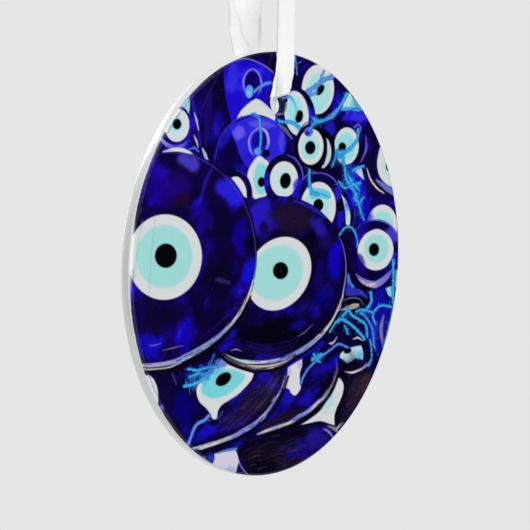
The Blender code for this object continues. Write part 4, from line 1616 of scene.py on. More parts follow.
def paint_lower_beads(art):
    """The lowest beads, with white windows, bright rims and a thread."""
    # White glass of the lowest right bead, between dark ones.
    art.blotch(24.5, -27, 5, 7, (12, 6, 22), 0.95, seed=121)
    art.fill(oval(16.6, -27.6, 8.6, 9.6, -30), (9, 4, 26), soft=0.5)
    art.fill(
        outline((20.4, -23), (20.4, -23), (21.3, -23.5), (22.1, -24.7), (22.0, -26.4), (21.4, -28),
                (20.7, -29.5), (20.2, -31.2), (20.4, -33.3), (20.4, -33.3), (18.5, -32.9), (16.5, -32.6),
                (14.5, -32.9), (11.2, -33.5), (11.2, -33.5), (13.5, -32.2), (16, -30.5), (17.7, -28.5),
                (19.2, -26), (20, -24)),
        WHITE, soft=0.3,
    )
    art.blotch(18.4, -28.6, 1.0, 2.2, (168, 214, 218), 0.85, tilt=-30, seed=122)
    # The bead at the very bottom.
    bottom = outline(
        (-5.2, -39.0), (0, -36.4), (6, -34.7), (13.5, -33.0), (16.5, -32.5), (19, -33.0), (22, -33.9),
        (26, -36), (22, -44), (8, -48), (-2, -46), (-4.2, -42),
    )
    art.fill(bottom, glass((10, 5, 28), (22, 12, 130), 3, 124, 25, 2.4, share=0.55))
    art.inside(bottom)
    art.blotches(
        (16.6, -36.8, 3.4, 2.2, (34, 22, 150), 0.7, -20, 125),
        (8, -38.4, 5.5, 1.0, (20, 12, 92), 0.7, 12, 126),
        (3, -41, 5, 1.4, (6, 4, 14), 0.8, 0, 127),
    )
    for row in range(7):
        x = 2 + 2.1 * row
        art.stroke(
            [(x, -40.6 + 0.5 * row), (x + 3.4, -39.3 + 0.55 * row)],
            0.22, (44, 34, 130), soft=0.4, opacity=0.45,
        )
    art.blotch(3.5, -39.2, 7.0, 1.9, (20, 12, 26), 0.85, tilt=14, seed=128)
    art.blotch(9.5, -42.0, 4.5, 1.2, (26, 16, 26), 0.8, tilt=14, seed=129)
    random = np.random.default_rng(255)
    for _ in range(46):
        x = random.uniform(-3, 14)
        z = random.uniform(-43.6, -36.4) + 0.12 * x
        reach = random.uniform(0.5, 1.7)
        rise = reach * random.uniform(0.12, 0.45)
        tint = ((78, 62, 62), (62, 44, 52), (58, 34, 120), (40, 26, 96))[random.integers(0, 4)]
        art.stroke(
            [(x - reach, z - rise), (x, z + 0.08), (x + reach, z + 0.6 * rise)],
            random.uniform(0.12, 0.24), tint, soft=0.35, opacity=random.uniform(0.3, 0.7),
        )
    art.inside()
    art.stroke([(17.6, -34.1), (19, -34.7), (20.2, -35.8)], [0.3, 0.7, 0.4], (118, 108, 216), soft=0.4)
    art.stroke([(18.6, -33.5), (20.4, -34.0), (21.9, -35.0)], [0.3, 0.9, 0.5], (120, 120, 140), soft=0.5)
    art.stroke([(21.0, -34.0), (21.9, -33.2), (22.7, -32.7)], [0.3, 0.7, 0.4], (196, 198, 204), soft=0.3)
    art.stroke(
        [(-5, -39.3), (-4.1, -41.6), (-3, -43), (-1.4, -44.4)],
        0.3, (150, 150, 190), soft=0.3, opacity=0.8,
    )
    # Pale scrap and marks left of it.
    art.fill(
        outline((-10.5, -40.0), (-10.5, -40.0), (-7.8, -39.5), (-5.2, -39.1), (-5.2, -39.1), (-4.1, -41.7),
                (-4.5, -45), (-4.5, -45), (-11, -45), (-11, -45), (-10.7, -42.2)),
        (204, 200, 216), soft=0.3,
    )
    art.blotches(
        (-7.0, -44.4, 3.4, 1.6, (158, 160, 212), 0.8, 0, 130),
        (-11.5, -40.8, 1.0, 0.9, (34, 60, 200), 0.8, 0, 128),
        (-13.2, -41.0, 0.8, 0.5, (120, 110, 190), 0.7, 0, 129),
    )
    art.stroke([(-9.5, -39.8), (-7.4, -39.2), (-4.9, -38.8)], 0.42, (70, 130, 214), soft=0.3)
    art.fill(
        outline((-4.3, -41.8), (-4.3, -41.8), (-2.6, -44.6), (-2.6, -44.6), (-4.6, -45)),
        (14, 10, 70), soft=0.3,
    )
    # The bead above it, with a white window and a bright rim.
    middle = outline(
        (3, -35.0), (0.2, -36.0), (-6, -37), (-10, -32), (-6, -24), (2, -17), (12, -15), (18.6, -16.6),
        (20.4, -20.2), (19.7, -24.2), (16.9, -28.4), (12.4, -31.6), (7.6, -33.9),
    )
    art.fill(middle, glass((11, 4, 48), (20, 10, 196), 3, 131, 30, 2.2, share=0.52))
    art.inside(middle)
    art.blotches(
        (7.4, -27.8, 1.9, 1.9, (30, 16, 190), 0.75, 0, 132),
        (12.2, -28.0, 2.4, 1.6, (26, 14, 176), 0.8, 20, 133),
        (15.3, -21.6, 2.4, 1.2, (24, 12, 150), 0.8, 30, 134),
        (6.5, -32.2, 6, 1.3, (26, 16, 34), 0.85, 20, 135),
        (16.8, -25.6, 1.0, 2.4, (12, 6, 24), 0.8, -30, 136),
    )
    art.inside()
    art.fill(
        outline((6.6, -21.7), (6.6, -21.7), (8.4, -20.6), (10.5, -19.5), (10.5, -19.5), (10.6, -21),
                (10.2, -22.5), (10.4, -24.5), (10.7, -25.6), (10.0, -26.8), (9.2, -27.3), (8.2, -26.8),
                (7.6, -26.0), (6.4, -25.7), (6.4, -25.7), (6.7, -24)),
        (212, 211, 215), soft=0.3,
    )
    art.blotch(7.3, -22.4, 0.7, 0.9, (150, 156, 222), 0.5, seed=137)
    art.blotch(9.9, -20.8, 0.6, 0.9, (164, 158, 220), 0.6, seed=138)
    moulded_rim(
        art,
        [(0.2, -35.7), (2.2, -35), (5, -34.1), (8, -33.2), (10, -32.2), (13, -30.5), (15, -29), (17, -27.5),
         (18.5, -25.5), (19.5, -23.5), (19.95, -21.2), (19.6, -19.4)],
        [0.4, 0.6, 0.7, 0.7, 0.9, 0.9, 0.8, 0.7, 0.6, 0.5, 0.45, 0.3],
        [(130, 126, 150), CREAM, (150, 150, 190), CREAM, (104, 124, 206), (110, 128, 204), (190, 184, 190),
         (150, 150, 180), (110, 104, 120), (96, 88, 110), (84, 76, 100), (60, 54, 90)],
        251, soft=0.35,
    )
    art.stroke(
        [(3, -35.6), (8, -34.2), (12.4, -32.0), (16.4, -29.2), (19.0, -26.2), (20.5, -22.6)],
        0.55, (8, 5, 18), soft=0.5,
    )
    art.yarn(
        [(10.6, -24.7), (11.2, -23.2), (12.2, -21.7), (14, -20), (16, -18.5), (18, -17.2), (20, -16),
         (22.5, -16.6)],
        0.55, CORD_BLUE, seed=139,
    )
    art.yarn([(13.1, -19.6), (14.3, -19.0), (15.5, -18.3)], 0.7, CYAN, seed=140, fray=10)
    art.yarn([(13.4, -18.4), (14.4, -19.2), (15.2, -20.0)], 0.5, CYAN, seed=141, fray=8)
    # Worn brown glass at the right, a bright rim over it and a thread's end.
    art.blotches(
        (26.6, -26.0, 3.4, 4.6, (40, 28, 50), 0.85, -15, 143),
        (28.2, -24.4, 1.5, 2.6, (62, 40, 46), 0.7, -20, 144),
        (24.2, -31.4, 2.6, 2.6, (30, 22, 50), 0.8, -30, 145),
    )
    random = np.random.default_rng(258)
    for _ in range(60):
        x = random.uniform(22.6, 29.5)
        z = random.uniform(-33.5, -22.2)
        tint = ((78, 58, 62), (16, 10, 30), (70, 62, 104), (48, 34, 70))[random.integers(0, 4)]
        art.stroke(
            [(x, z), (x + random.uniform(0.2, 0.8), z + random.uniform(-0.2, 0.7))],
            random.uniform(0.12, 0.3), tint, soft=0.35, opacity=random.uniform(0.35, 0.8),
        )
    art.stroke(
        [(22.2, -21.8), (24.0, -21.9), (25.5, -21.5), (27.0, -20.8), (27.8, -19.7)],
        [0.2, 0.5, 0.5, 0.4, 0.2],
        [(150, 146, 170), (214, 206, 206), CREAM, (150, 146, 190), (130, 126, 180)],
        soft=0.3,
    )
    art.yarn([(28.3, -14.6), (28.9, -16.6), (29.1, -18.6), (28.5, -20.3)], 0.45, CYAN, seed=146, fray=3)


def paint_bottom_left(art):
    """The tipped bead at the lower left, its eye and the thread through it."""
    art.blotch(-24, -30, 4, 5, (14, 6, 58), 0.8, seed=151)
    body = outline(
        (-23.6, -25.4), (-22, -31), (-18.8, -36), (-15.9, -39.1), (-11.5, -38.8), (-6, -36.8), (-1, -34.1),
        (2.9, -30.6), (5.6, -26.8), (6.9, -22.6), (5.5, -18.5), (-4, -17), (-14, -18), (-21, -21),
    )
    art.fill(body, glass((12, 4, 46), (22, 12, 180), 3.2, 152, 28, 2.6, share=0.5))
    art.inside(body)
    art.blotches(
        (-19.2, -31.2, 3.4, 3.6, (8, 3, 120), 0.8, -45, 153),
        (-12.6, -35.2, 2.2, 1.3, (26, 14, 190), 0.75, 20, 154),
        (1.6, -23.8, 2.8, 1.4, (26, 15, 172), 0.85, -6, 155),
        (-3, -30.8, 5.6, 1.5, (30, 17, 42), 0.85, 28, 156),
        (-5.6, -33.8, 4.4, 0.8, (30, 16, 110), 0.8, 24, 157),
        (2.6, -28.4, 1.2, 3.0, (26, 16, 30), 0.8, -35, 158),
        (-1.2, -27.8, 4.4, 2.4, (26, 17, 36), 0.85, 28, 168),
        (4.7, -22.4, 2.0, 2.4, (16, 9, 38), 0.8, 0, 169),
    )
    random = np.random.default_rng(256)
    for _ in range(44):
        place = random.uniform(0, 1)
        x = -9.0 + 14.5 * place + random.uniform(-1.2, 1.2)
        z = -35.4 + 12.5 * place**1.2 + random.uniform(-1.5, 2.6)
        reach = random.uniform(0.5, 1.6)
        rise = reach * (0.45 + 0.9 * place)
        tint = ((84, 66, 70), (62, 46, 58), (84, 56, 128), (50, 34, 110))[random.integers(0, 4)]
        art.stroke(
            [(x - reach, z - rise), (x, z - 0.08), (x + 0.8 * reach, z + rise)],
            random.uniform(0.12, 0.24), tint, soft=0.35, opacity=random.uniform(0.3, 0.7),
        )
    art.inside()
    art.fill(
        outline((-10.4, -20.4), (-8.6, -21.4), (-5.4, -22.3), (-1.9, -23.0), (-1.9, -23.0), (-2.2, -24.2),
                (-3.5, -25.7), (-5.5, -27.5), (-7.5, -28.7), (-9.4, -29.8), (-10.3, -31), (-10.6, -32.7),
                (-11.6, -32.8), (-12.4, -31.7), (-13.4, -30.7), (-15.0, -29.6), (-15.9, -28.3),
                (-16.2, -26.7), (-15.4, -25.4), (-12.5, -23.5)),
        WHITE, soft=0.3,
    )
    art.fill(
        outline((-15.0, -26.2), (-14.6, -27.6), (-12.6, -28.5), (-10, -28.3), (-7.5, -27.2), (-5, -25.2),
                (-4.1, -23.6), (-6, -22.6), (-8.7, -22.4), (-11.6, -22.6), (-13.6, -24.4)),
        (112, 204, 212), soft=0.8, opacity=0.95,
    )
    art.blotch(-11.7, -22.7, 1.6, 1.1, (96, 176, 222), 0.7, seed=159)
    art.fill(oval(-9.55, -24.5, 2.05, 1.25, 27), INK, soft=0.4)
    art.blotch(-10.6, -21.1, 1.5, 0.8, (84, 110, 206), 0.85, tilt=-10, seed=164)
    moulded_rim(
        art,
        [(-15.9, -39.0), (-14, -38.7), (-11.5, -38.1), (-8, -37.0), (-5.5, -36.1), (-3.5, -35), (-1, -33.7),
         (1, -32.2), (3, -30), (5.1, -27), (6.0, -25), (6.5, -23.0)],
        [0.5, 0.9, 0.85, 0.8, 0.9, 1.0, 0.9, 0.8, 0.6, 0.45, 0.35, 0.25],
        [(150, 200, 212), (176, 196, 214), CREAM, (170, 164, 176), (130, 138, 196), (104, 122, 206),
         (116, 134, 210), (150, 156, 204), (130, 128, 150), (104, 98, 120), (96, 90, 110), (70, 62, 100)],
        252, soft=0.35,
    )
    art.stroke(
        [(-10.8, -38.9), (-6, -37.3), (-1.6, -35.2), (2.4, -32.2), (5.6, -28.0), (7.2, -23.4)],
        0.5, (7, 4, 18), soft=0.5,
    )
    art.yarn(
        [(-12.5, -32.1), (-13.7, -33.2), (-15, -33.7), (-16, -34.7), (-16.7, -36.5), (-17.5, -38.6)],
        0.78, CORD_BLUE, seed=160,
    )
    art.stroke(
        [(-12.9, -33.0), (-11.4, -33.2), (-10.0, -32.4), (-9.2, -31.2)],
        0.3, (86, 80, 190), soft=0.35, opacity=0.8,
    )
    art.fill(oval(-11.3, -33.6, 1.3, 0.6, 10), (8, 3, 40), soft=0.4)
    art.blotch(-16.0, -24.4, 3.2, 1.6, (50, 140, 206), 0.35, seed=167, ragged=1.6)
    art.yarn([(-18.7, -22.7), (-16.4, -22.9), (-13.6, -22.2), (-11.0, -22.0)], 0.6, CYAN, seed=161, fray=12)
    art.yarn([(-18.2, -24.4), (-15.8, -23.6), (-13.4, -24.6)], 0.55, CYAN, seed=162, fray=12)
    art.yarn(
        [(-19.4, -26.3), (-17.4, -25.9), (-15.4, -25.1), (-13.2, -23.4)],
        0.75, (60, 166, 220), seed=163, fray=14,
    )
    art.yarn([(-13.4, -22.4), (-12.9, -21.0), (-12.4, -19.5)], 0.4, (46, 110, 200), seed=164, fray=4)
    art.yarn([(-15.2, -23.8), (-13.8, -23.4), (-12.6, -22.6)], 0.5, (70, 130, 220), seed=165, fray=8)
    # White sliver and marks at the left edge.
    art.fill(
        outline((-29.4, -24.4), (-27.6, -24.7), (-26.3, -26.3), (-25.7, -28.2), (-25.5, -30.2),
                (-25.5, -30.2), (-29, -29)),
        (206, 214, 216), soft=0.3,
    )
    art.blotch(-24.6, -31.0, 0.5, 0.8, (110, 120, 210), 0.8, seed=166)
    art.stroke([(-22.6, -23.8), (-22.0, -24.8), (-21.4, -25.9)], 0.4, (84, 76, 170), soft=0.4, opacity=0.6)


def paint_big_right(art):
    """The large bead in the middle."""
    body = outline(
        (2.5, 14.35), (7, 14.0), (11.2, 12.7), (14, 11.0), (16.1, 9.4), (18, 7.2), (19.6, 4.9), (20.6, 2.5),
        (21, 0), (20.9, -2.4), (20.4, -5), (19.6, -7.6), (18.5, -10), (17, -12.2), (15, -14.4),
        (12.5, -16.5), (10, -18.2), (6.2, -20.1), (0, -21.9), (-4.6, -21.7), (-9.8, -19.9), (-14, -14),
        (-15, -4), (-12, 6), (-7, 11.8), (-2, 14.0),
    )
    art.fill(body, glass((11, 4, 42), (24, 9, 184), 3.2, 171, 35, 1.6, share=0.46))
    art.inside(body)
    art.blotches(
        (-3.0, 9.6, 3.3, 4.2, (40, 26, 200), 0.85, 0, 172),
        (-1.9, 7.5, 1.2, 1.0, (16, 6, 60), 0.85, 0, 173),
        (5.0, 9.8, 5.8, 3.2, (32, 18, 44), 0.88, 0, 174),
        (12.4, 8.6, 1.6, 2.2, (44, 30, 196), 0.7, 35, 182),
    )
    art.stroke(
        [(5.6, 13.5), (8.6, 13.0), (11.6, 11.9), (14.2, 10.6)],
        [0.5, 0.9, 0.9, 0.5], (46, 30, 190), soft=0.6, opacity=0.8,
    )
    art.blotches(
        (9.6, 3.6, 2.2, 3.4, (6, 3, 18), 0.8, 0, 175),
        (17.6, 1.6, 1.9, 4.4, (16, 6, 196), 0.85, 0, 176),
        (13.6, -1.6, 1.4, 3.6, (20, 8, 120), 0.6, 0, 183),
        (14.6, 5.4, 1.5, 1.6, (30, 12, 90), 0.6, 0, 177),
        (15.4, -6.2, 2.6, 2.6, (10, 5, 100), 0.75, 0, 178),
        (3, -14.4, 9.4, 3.2, (6, 3, 16), 0.88, 6, 179),
        (8.8, -12.4, 2.2, 1.1, (20, 10, 150), 0.75, 20, 180),
        (-2, -17.6, 5, 0.8, (18, 10, 80), 0.7, 0, 181),
    )
    art.stroke(
        [(9, -14.8), (10.8, -13.8), (12.6, -12.2)], [0.2, 0.4, 0.2], (104, 92, 190), soft=0.35, opacity=0.8,
    )
    for row in range(4):
        z = -16.2 - 1.0 * row
        art.stroke(
            [(-4.5 + row, z - 0.2), (0.5, z - 0.75), (5.5, z), (9.5 - 0.6 * row, z + 1.4)],
            0.3, (32, 22, 110), soft=0.5, opacity=0.55,
        )
    art.stroke([(-8.2, -18.5), (-6.8, -18.2), (-5.4, -18.5)], [0.15, 0.35, 0.15], (130, 120, 130), soft=0.3)
    iris(
        art, (2.95, -1.9, 8.8, 7.3, 35), (2.4, -1.8, 6.9, 5.65, 20), (3.25, -1.25, 1.98, 1.78), AQUA,
        soft=0.9,
    )
    art.stroke([(19.0, 7.3), (20.5, 4.0), (21.1, 0.2), (21.0, -3.4)], 0.5, (8, 4, 26), soft=0.4)
    art.stroke([(18.0, 7.0), (19.4, 4.6), (20.35, 1.6), (20.6, -1.5), (20.3, -4.4)], 0.28,
               [(70, 54, 170), (104, 84, 206), (110, 96, 214), (140, 130, 210), (170, 166, 200)], soft=0.3)
    art.inside()
    moulded_rim(
        art,
        [(20.3, -4.6), (20.0, -6.5), (19.2, -8.5), (18.0, -11), (16.2, -13.2), (14.5, -14.8), (12.5, -16.3),
         (10, -17.8), (7.5, -18.9), (5, -19.75), (2.4, -20.3), (0, -20.6), (-4, -20.7), (-6.5, -20.45),
         (-9.5, -19.4)],
        [0.3, 0.45, 0.6, 0.8, 0.9, 1.0, 1.1, 1.1, 0.95, 0.8, 0.7, 0.6, 0.8, 0.75, 0.3],
        [(176, 170, 196), CREAM, CREAM, (204, 196, 190), (190, 188, 196), (150, 156, 200), STEEL, STEEL,
         (104, 118, 196), (96, 104, 200), (150, 150, 190), (196, 200, 214), (176, 206, 214),
         (180, 208, 216), (150, 180, 200)],
        253,
    )
    moulded_rim(
        art,
        [(-10.6, -18.9), (-8.5, -20.2), (-4.7, -21.35), (-1.0, -21.75), (2.9, -21.35), (6.1, -20.25),
         (8.6, -18.7)],
        [0.5, 0.8, 0.9, 0.95, 0.9, 0.8, 0.4],
        [(26, 20, 44), (56, 44, 58), (100, 86, 90), (120, 104, 100), (126, 110, 106), (84, 78, 96),
         (50, 50, 80)],
        257, soft=0.35,
    )
    art.stroke(
        [(-11.0, -19.6), (-8.7, -20.95), (-4.8, -22.1), (-1.0, -22.5), (3.1, -22.1), (6.6, -20.9),
         (9.4, -18.9)],
        0.5, (9, 6, 16), soft=0.4,
    )
    art.stroke(
        [(6.6, -20.1), (3.4, -21.0), (0, -21.45), (-3.6, -21.4)],
        [0.2, 0.35, 0.4, 0.2], CREAM, soft=0.25, opacity=0.85,
    )
    art.stroke(
        [(19.4, -9.2), (17.8, -12.0), (15.4, -14.9), (12.4, -17.3), (8.4, -19.6)],
        0.5, (7, 4, 18), soft=0.45,
    )


def paint_big_left(art):
    """The largest bead, in front of the others at the left."""
    body = oval(-25.5, -0.6, 22.9, 21.1, 45)
    art.fill(oval(-25.6, -1.3, 23.3, 21.6, 45), (8, 4, 22), soft=0.5)
    art.fill(body, glass((14, 4, 56), (28, 8, 200), 3.6, 191, 60, 1.6, share=0.52))
    art.inside(body)
    art.blotches(
        (-29, 13.4, 5.0, 3.0, (26, 3, 128), 0.7, 0, 192),
        (-31.6, 17.5, 3.0, 2.4, (30, 8, 130), 0.6, 0, 193),
        (-22.0, 19.6, 2.8, 1.6, (76, 66, 216), 0.8, -18, 194),
        (-23.2, 11.6, 2.2, 1.6, (34, 10, 40), 0.85, 0, 195),
        (-11.2, 14.4, 3.5, 2.6, (38, 34, 222), 0.9, -25, 196),
    )
    art.stroke(
        [(-15.8, 19.4), (-17.4, 16.4), (-18.6, 12.0)],
        [0.3, 1.0, 0.5], (44, 26, 180), soft=0.9, opacity=0.7,
    )
    art.blotches(
        (-18.2, 6.0, 1.0, 1.2, (24, 8, 150), 0.7, 0, 197),
        (-12.4, 8.0, 2.6, 3.8, (10, 3, 40), 0.75, 0, 198),
        (-7.6, 4.8, 1.9, 3.8, (14, 4, 160), 0.75, 0, 199),
        (-5.2, 4.0, 1.3, 1.7, (6, 2, 24), 0.85, 0, 200),
        (-4.9, -1.6, 1.5, 2.9, (16, 14, 216), 0.85, -12, 201),
        (-8.4, -1.2, 1.2, 1.8, (16, 6, 120), 0.6, 0, 202),
    )
    art.stroke(
        [(-14.6, -9.6), (-13.2, -7.6), (-11.2, -5.8)],
        [0.4, 1.2, 0.6], (46, 12, 104), soft=0.8, opacity=0.8,
    )
    art.blotches(
        (-21.7, -8.6, 2.0, 1.2, (24, 6, 140), 0.6, 0, 203),
        (-14, -12.5, 4.6, 3.4, (9, 3, 34), 0.8, 0, 204),
        (-27.5, -12, 4.6, 2.0, (10, 3, 40), 0.8, 0, 205),
        (-19.4, -15.6, 1.8, 3.8, (20, 6, 172), 0.8, 0, 206),
        (-29.2, -18.2, 3.4, 2.8, (18, 10, 190), 0.8, -20, 207),
        (-24.2, -15.6, 1.4, 2.6, (16, 6, 100), 0.5, 0, 208),
        (-31.6, -11.6, 1.4, 2.4, (14, 6, 90), 0.5, 0, 209),
        (-13.4, -4.2, 4.4, 4.2, (9, 3, 36), 0.85, 0, 210),
        (-11.2, -8.6, 3.4, 3.0, (10, 4, 42), 0.8, 0, 211),
        (-11.4, -4.2, 2.1, 0.5, (74, 54, 132), 0.5, -8, 212),
        (-24.5, 15.2, 3.6, 2.6, (36, 8, 128), 0.55, 0, 213),
        (-17.4, 8.0, 2.2, 2.6, (24, 8, 150), 0.6, 0, 214),
    )
    art.stroke(
        [(-25.4, -19.2), (-23.0, -18.6), (-20.4, -18.0)],
        [0.1, 0.3, 0.1], (150, 140, 150), soft=0.3, opacity=0.7,
    )
    art.stroke(
        [(-28.9, -18.3), (-27.4, -18.2), (-25.9, -17.7)],
        [0.1, 0.28, 0.1], (150, 140, 160), soft=0.3, opacity=0.7,
    )
    for row in range(5):
        x = -13.0 + 1.6 * row
        art.stroke(
            [(x - 3.4, -16.4 + 1.2 * row), (x, -14.2 + 1.4 * row), (x + 2.2, -11.6 + 1.6 * row)],
            0.25, (34, 22, 120), soft=0.5, opacity=0.4,
        )
    art.fill(oval(-26.4, -0.1, 9.25, 8.75), WHITE, soft=0.3)
    art.fill(oval(-26.5, 0.0, 7.0, 6.45), AQUA, soft=0.7)
    art.fill(oval(-26.2, 0.2, 2.7, 2.47), INK, soft=0.4)
    art.inside()
    art.stroke(
        [(-31, 20.6), (-26, 21.3), (-20, 20.7), (-14, 18.2), (-9.4, 14.6), (-6.4, 10.6), (-4.5, 6.4),
         (-3.5, 2.2), (-3.35, -1.0), (-3.7, -3.8)],
        0.24,
        [(40, 26, 96), (54, 42, 120), (80, 72, 160), (58, 48, 134), (74, 68, 160), (66, 56, 146),
         (80, 74, 156), (82, 76, 150), (116, 112, 172), (166, 168, 200)],
        soft=0.28, opacity=0.75,
    )
    moulded_rim(
        art,
        [(-3.7, -3.6), (-4.0, -5), (-4.9, -7.6), (-6.1, -9.8), (-7.4, -11.7), (-9, -13.5), (-11, -15.3),
         (-13.5, -17.1), (-17, -19.1), (-20, -20.5), (-22, -21.3), (-26, -22.1), (-29.4, -22.4),
         (-31, -22.2)],
        [0.3, 0.4, 0.6, 0.75, 0.75, 0.8, 1.0, 1.15, 1.3, 1.2, 1.0, 0.9, 0.8, 0.5],
        [(190, 190, 214), (206, 204, 210), CREAM, CREAM, (190, 186, 200), (130, 150, 192), STEEL, STEEL,
         (120, 144, 188), (120, 144, 186), (130, 144, 190), (150, 152, 190), (170, 168, 190),
         (150, 150, 176)],
        254,
    )
    art.stroke(
        [(-20.6, -21.5), (-23.6, -22.6), (-27, -23.1), (-30.2, -23.2)],
        [0.2, 0.4, 0.45, 0.3], CREAM, soft=0.25, opacity=0.9,
    )
    art.stroke(
        [(-4.0, -7.0), (-6.2, -11.4), (-9.2, -14.8), (-13.4, -18.2), (-18.4, -21.1), (-21.5, -22.9),
         (-29.5, -24.0)],
        [0.3, 0.7, 0.8, 0.8, 0.9, 1.0, 0.9], (12, 6, 20), soft=0.4,
    )


def paint_glaze_reflections(art):
    """Painted reflections in the glaze down the left side: a painted highlight band by the edge, faint
    painted reflection streaks and a painted highlight line along the rounded border.
    """
    # Painted highlight: a bright band where the rounded edge meets the face.
    art.stroke(
        [(-34.5, 10.8), (-34.9, 6.0), (-35.1, 0.0), (-34.9, -5.0), (-34.4, -9.5)],
        [0.4, 1.2, 1.5, 1.5, 0.5], (244, 246, 244), soft=0.7, opacity=0.7,
    )
    # Painted reflection streaks, a little darker than the print under them.
    art.stroke([(-29.5, 8.4), (-29.75, 1.0), (-29.7, -8.0)], 0.2, (110, 150, 150), soft=0.5, opacity=0.36)
    art.stroke([(-32.6, 7.0), (-33.3, 2.0), (-33.6, -4.5)], 0.4, (130, 180, 176), soft=0.6, opacity=0.42)
    # Painted highlight line along the rounded border, a little inside the edge.
    turns = [radians(turn) for turn in range(118, 236, 6)]
    border_highlight = [((art.half_width - 1.6) * cos(turn), (art.half_height - 1.6) * sin(turn)) for turn in turns]
    art.stroke(border_highlight[:9], 0.24, (104, 92, 160), soft=0.4, opacity=0.5, ragged=0.1)
    art.stroke(border_highlight[11:], 0.24, (88, 78, 140), soft=0.4, opacity=0.5, ragged=0.1)


def paint_specks(art):
    """Dust and tiny bubbles in the glass."""
    random = np.random.default_rng(7)
    for _ in range(260):
        x, z = random.uniform((-34, -44), (34, 44))
        if sample(art, np.array([x]), np.array([z])).sum() > 260:
            continue
        art.fill(oval(x, z, 0.10, 0.08), (96, 84, 170), soft=0.25, opacity=0.25 + 0.4 * random.random())


def paint_picture():
    """Paints the whole picture, from the beads at the back to those in front."""
    art = Painting(PAINTED_HALF_WIDTH, PAINTED_HALF_HEIGHT, NIGHT)
    paint_ground(art)
    paint_top_left(art)
    paint_left_edge(art)
    paint_cobalt_bead(art)
    paint_upper_right(art)
    paint_right_edge(art)
    paint_middle_right(art)
    paint_dark_right(art)
    paint_small_hidden(art)
    paint_lower_beads(art)
    paint_bottom_left(art)
    paint_big_right(art)
    paint_big_left(art)
    # Painted highlights and reflections of the glaze, over the print.
    paint_glaze_reflections(art)
    paint_specks(art)
    return art


# ---------------------------------------------------------------- light, floor and camera

FLOOR_RADIUS = 0.60
FLOOR_DROP = 0.26
CAMERA_YAW = 36.471
CAMERA_ROLL = 3.97
CAMERA_DISTANCE = 0.70
CAMERA_LENS = 227.13
CAMERA_SHIFT_X = 1.0 / 530
CAMERA_SHIFT_Y = -1.5 / 530


def aim(obj, at):
    """Turns a lamp or card to face a point."""
    obj.rotation_euler = (at - obj.location).to_track_quat("-Z", "Y").to_euler()


def add_lamp(name, location, at, size, power):
    """A rectangular lamp that faces a point."""
    light = bpy.data.lights.new(name, "AREA")
    light.shape = "RECTANGLE"
    light.size, light.size_y = size
    light.energy = power
    lamp = bpy.data.objects.new(name, light)
    lamp.location = location
    bpy.context.scene.collection.objects.link(lamp)
    aim(lamp, at)
    return lamp


def round_about(azimuth, elevation, distance):
    """A place around the plate: azimuth 0 is straight in front, and it grows to the viewer's right."""
    turn = radians(azimuth)
    rise = radians(elevation)
    return PLATE_CENTRE + distance * Vector((
        sin(turn) * cos(rise), -cos(turn) * cos(rise), sin(rise)
    ))


def make_world(level):
    """An even pale surround."""
    world = bpy.data.worlds.new("studio")
    world.use_nodes = True
    background = world.node_tree.nodes["Background"]
    background.inputs["Color"].default_value = (level, level, level, 1.0)
    background.inputs["Strength"].default_value = 1.0
    bpy.context.scene.world = world


def plain_material(name, grey, roughness, specular):
    """One even grey, for the floor and the cards."""
    material = bpy.data.materials.new(name)
    material.use_nodes = True
    shader = material.node_tree.nodes["Principled BSDF"]
    shader.inputs["Base Color"].default_value = (grey, grey, grey, 1.0)
    shader.inputs["Roughness"].default_value = roughness
    shader.inputs["Specular IOR Level"].default_value = specular
    return material


def make_floor(material):
    """A round pale floor, well below the plate."""
    bm = bmesh.new()
    bmesh.ops.create_circle(bm, cap_ends=True, segments=96, radius=FLOOR_RADIUS)
    mesh = bpy.data.meshes.new("studio_floor")
    bm.to_mesh(mesh)
    bm.free()
    mesh.materials.append(material)
    floor = bpy.data.objects.new("studio_floor", mesh)
    floor.location = (0.0, 0.0, PLATE_CENTRE.z - FLOOR_DROP)
    bpy.context.scene.collection.objects.link(floor)
    return floor


def make_card(name, place, width, height):
    """A black card that shades the plate and that its glaze mirrors. The camera can't see it."""
    material = plain_material(name, 0.0, 1.0, 0.0)
    bm = bmesh.new()
    bmesh.ops.create_grid(bm, x_segments=1, y_segments=1, size=0.5)
    mesh = bpy.data.meshes.new(name)
    bm.to_mesh(mesh)
    bm.free()
    mesh.materials.append(material)
    card = bpy.data.objects.new(name, mesh)
    card.location = place
    card.scale = (width, height, 1.0)
    aim(card, PLATE_CENTRE)
    card.visible_camera = False
    card.visible_shadow = False
    bpy.context.scene.collection.objects.link(card)
    return card


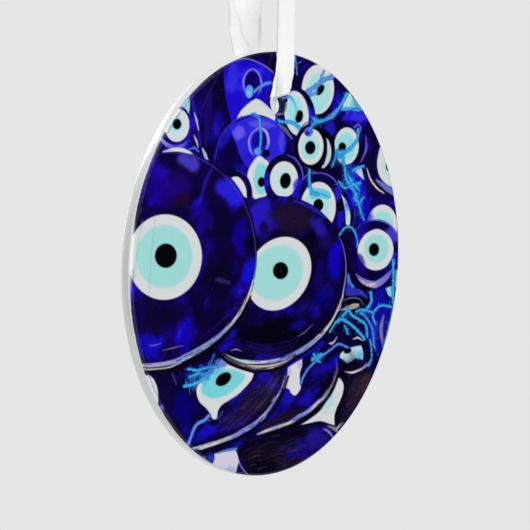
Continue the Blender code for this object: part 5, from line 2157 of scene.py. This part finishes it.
def make_camera():
    """A long lens level with the plate, turned to its left and rolled a little."""
    data = bpy.data.cameras.new("camera")
    data.sensor_width = 36.0
    data.lens = CAMERA_LENS
    data.shift_x = CAMERA_SHIFT_X
    data.shift_y = CAMERA_SHIFT_Y
    camera = bpy.data.objects.new("camera", data)
    yaw = radians(CAMERA_YAW)
    roll = radians(CAMERA_ROLL)
    towards = Vector((sin(yaw), cos(yaw), 0.0))
    level = Vector((cos(yaw), -sin(yaw), 0.0))
    upright = Vector((0.0, 0.0, 1.0))
    right = level * cos(roll) + upright * sin(roll)
    up = upright * cos(roll) - level * sin(roll)
    matrix = Matrix((right, up, -towards)).transposed().to_4x4()
    matrix.translation = PLATE_CENTRE - towards * CAMERA_DISTANCE
    camera.matrix_world = matrix
    bpy.context.scene.collection.objects.link(camera)
    bpy.context.scene.camera = camera
    return camera


# ---------------------------------------------------------------- put together

# The surround's brightness, how much of its painted colour the fired print keeps, and the smallest
# change of colour, out of 255, that gets its own points in the print.
WORLD_LEVEL = 0.7913
PRINT_GAIN = 0.98
SMALLEST_CHANGE = 10.0

glaze = glaze_material("porcelain_glaze")
printed = print_material("fired_print")
satin = satin_material("white_satin", (0.90, 0.905, 0.905))

make_camera()
bpy.context.scene.view_settings.view_transform = "Standard"

front_strand, front_path, front_length = make_strand(
    "front_ribbon", FRONT_ROUTE, FRONT_FOLDS, False, 0.25, satin
)
rear_strand, rear_path, rear_length = make_strand(
    "rear_ribbon", REAR_ROUTE, REAR_FOLDS, True, 0.5, satin
)
bight = make_bight(satin)
knot = make_knot(satin)
tails = [
    make_tail(name, route, slant, satin)
    for (name, route), slant in zip(TAIL_ROUTES.items(), (3.0, 2.2))
]
plate_body = make_plate_body(glaze)
point_outwards(plate_body)
picture = make_print(paint_picture(), printed)

for piece, node, body, slot in (
    (front_strand, "ribbon_front_strand", None, "satin"),
    (rear_strand, "ribbon_rear_strand", None, "satin"),
    (bight, "ribbon_bight", "bight", "satin"),
    (knot, "ribbon_knot", "knot", "satin"),
    (tails[0], "ribbon_tail_left", "knot", "satin"),
    (tails[1], "ribbon_tail_right", "knot", "satin"),
    (plate_body, "ceramic_plate", "ornament", "ceramic"),
    (picture, "picture_layer", "ornament", "picture"),
):
    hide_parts(node)
    if body:
        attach(piece, body)
    else:
        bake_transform(piece)

make_world(WORLD_LEVEL)
make_floor(plain_material("floor", 0.82, 0.9, 0.5))
make_card("mirrored_card", round_about(62, 0, 1.6), 1.9, 2.2)
make_card("side_card", round_about(-124, 0, 0.45), 0.40, 0.50)
add_lamp("key", round_about(-18, 34, 1.3), PLATE_CENTRE, (0.8, 0.8), 8.8)
add_lamp("fill", round_about(-174, 16, 1.3), PLATE_CENTRE, (0.7, 0.7), 3.7)
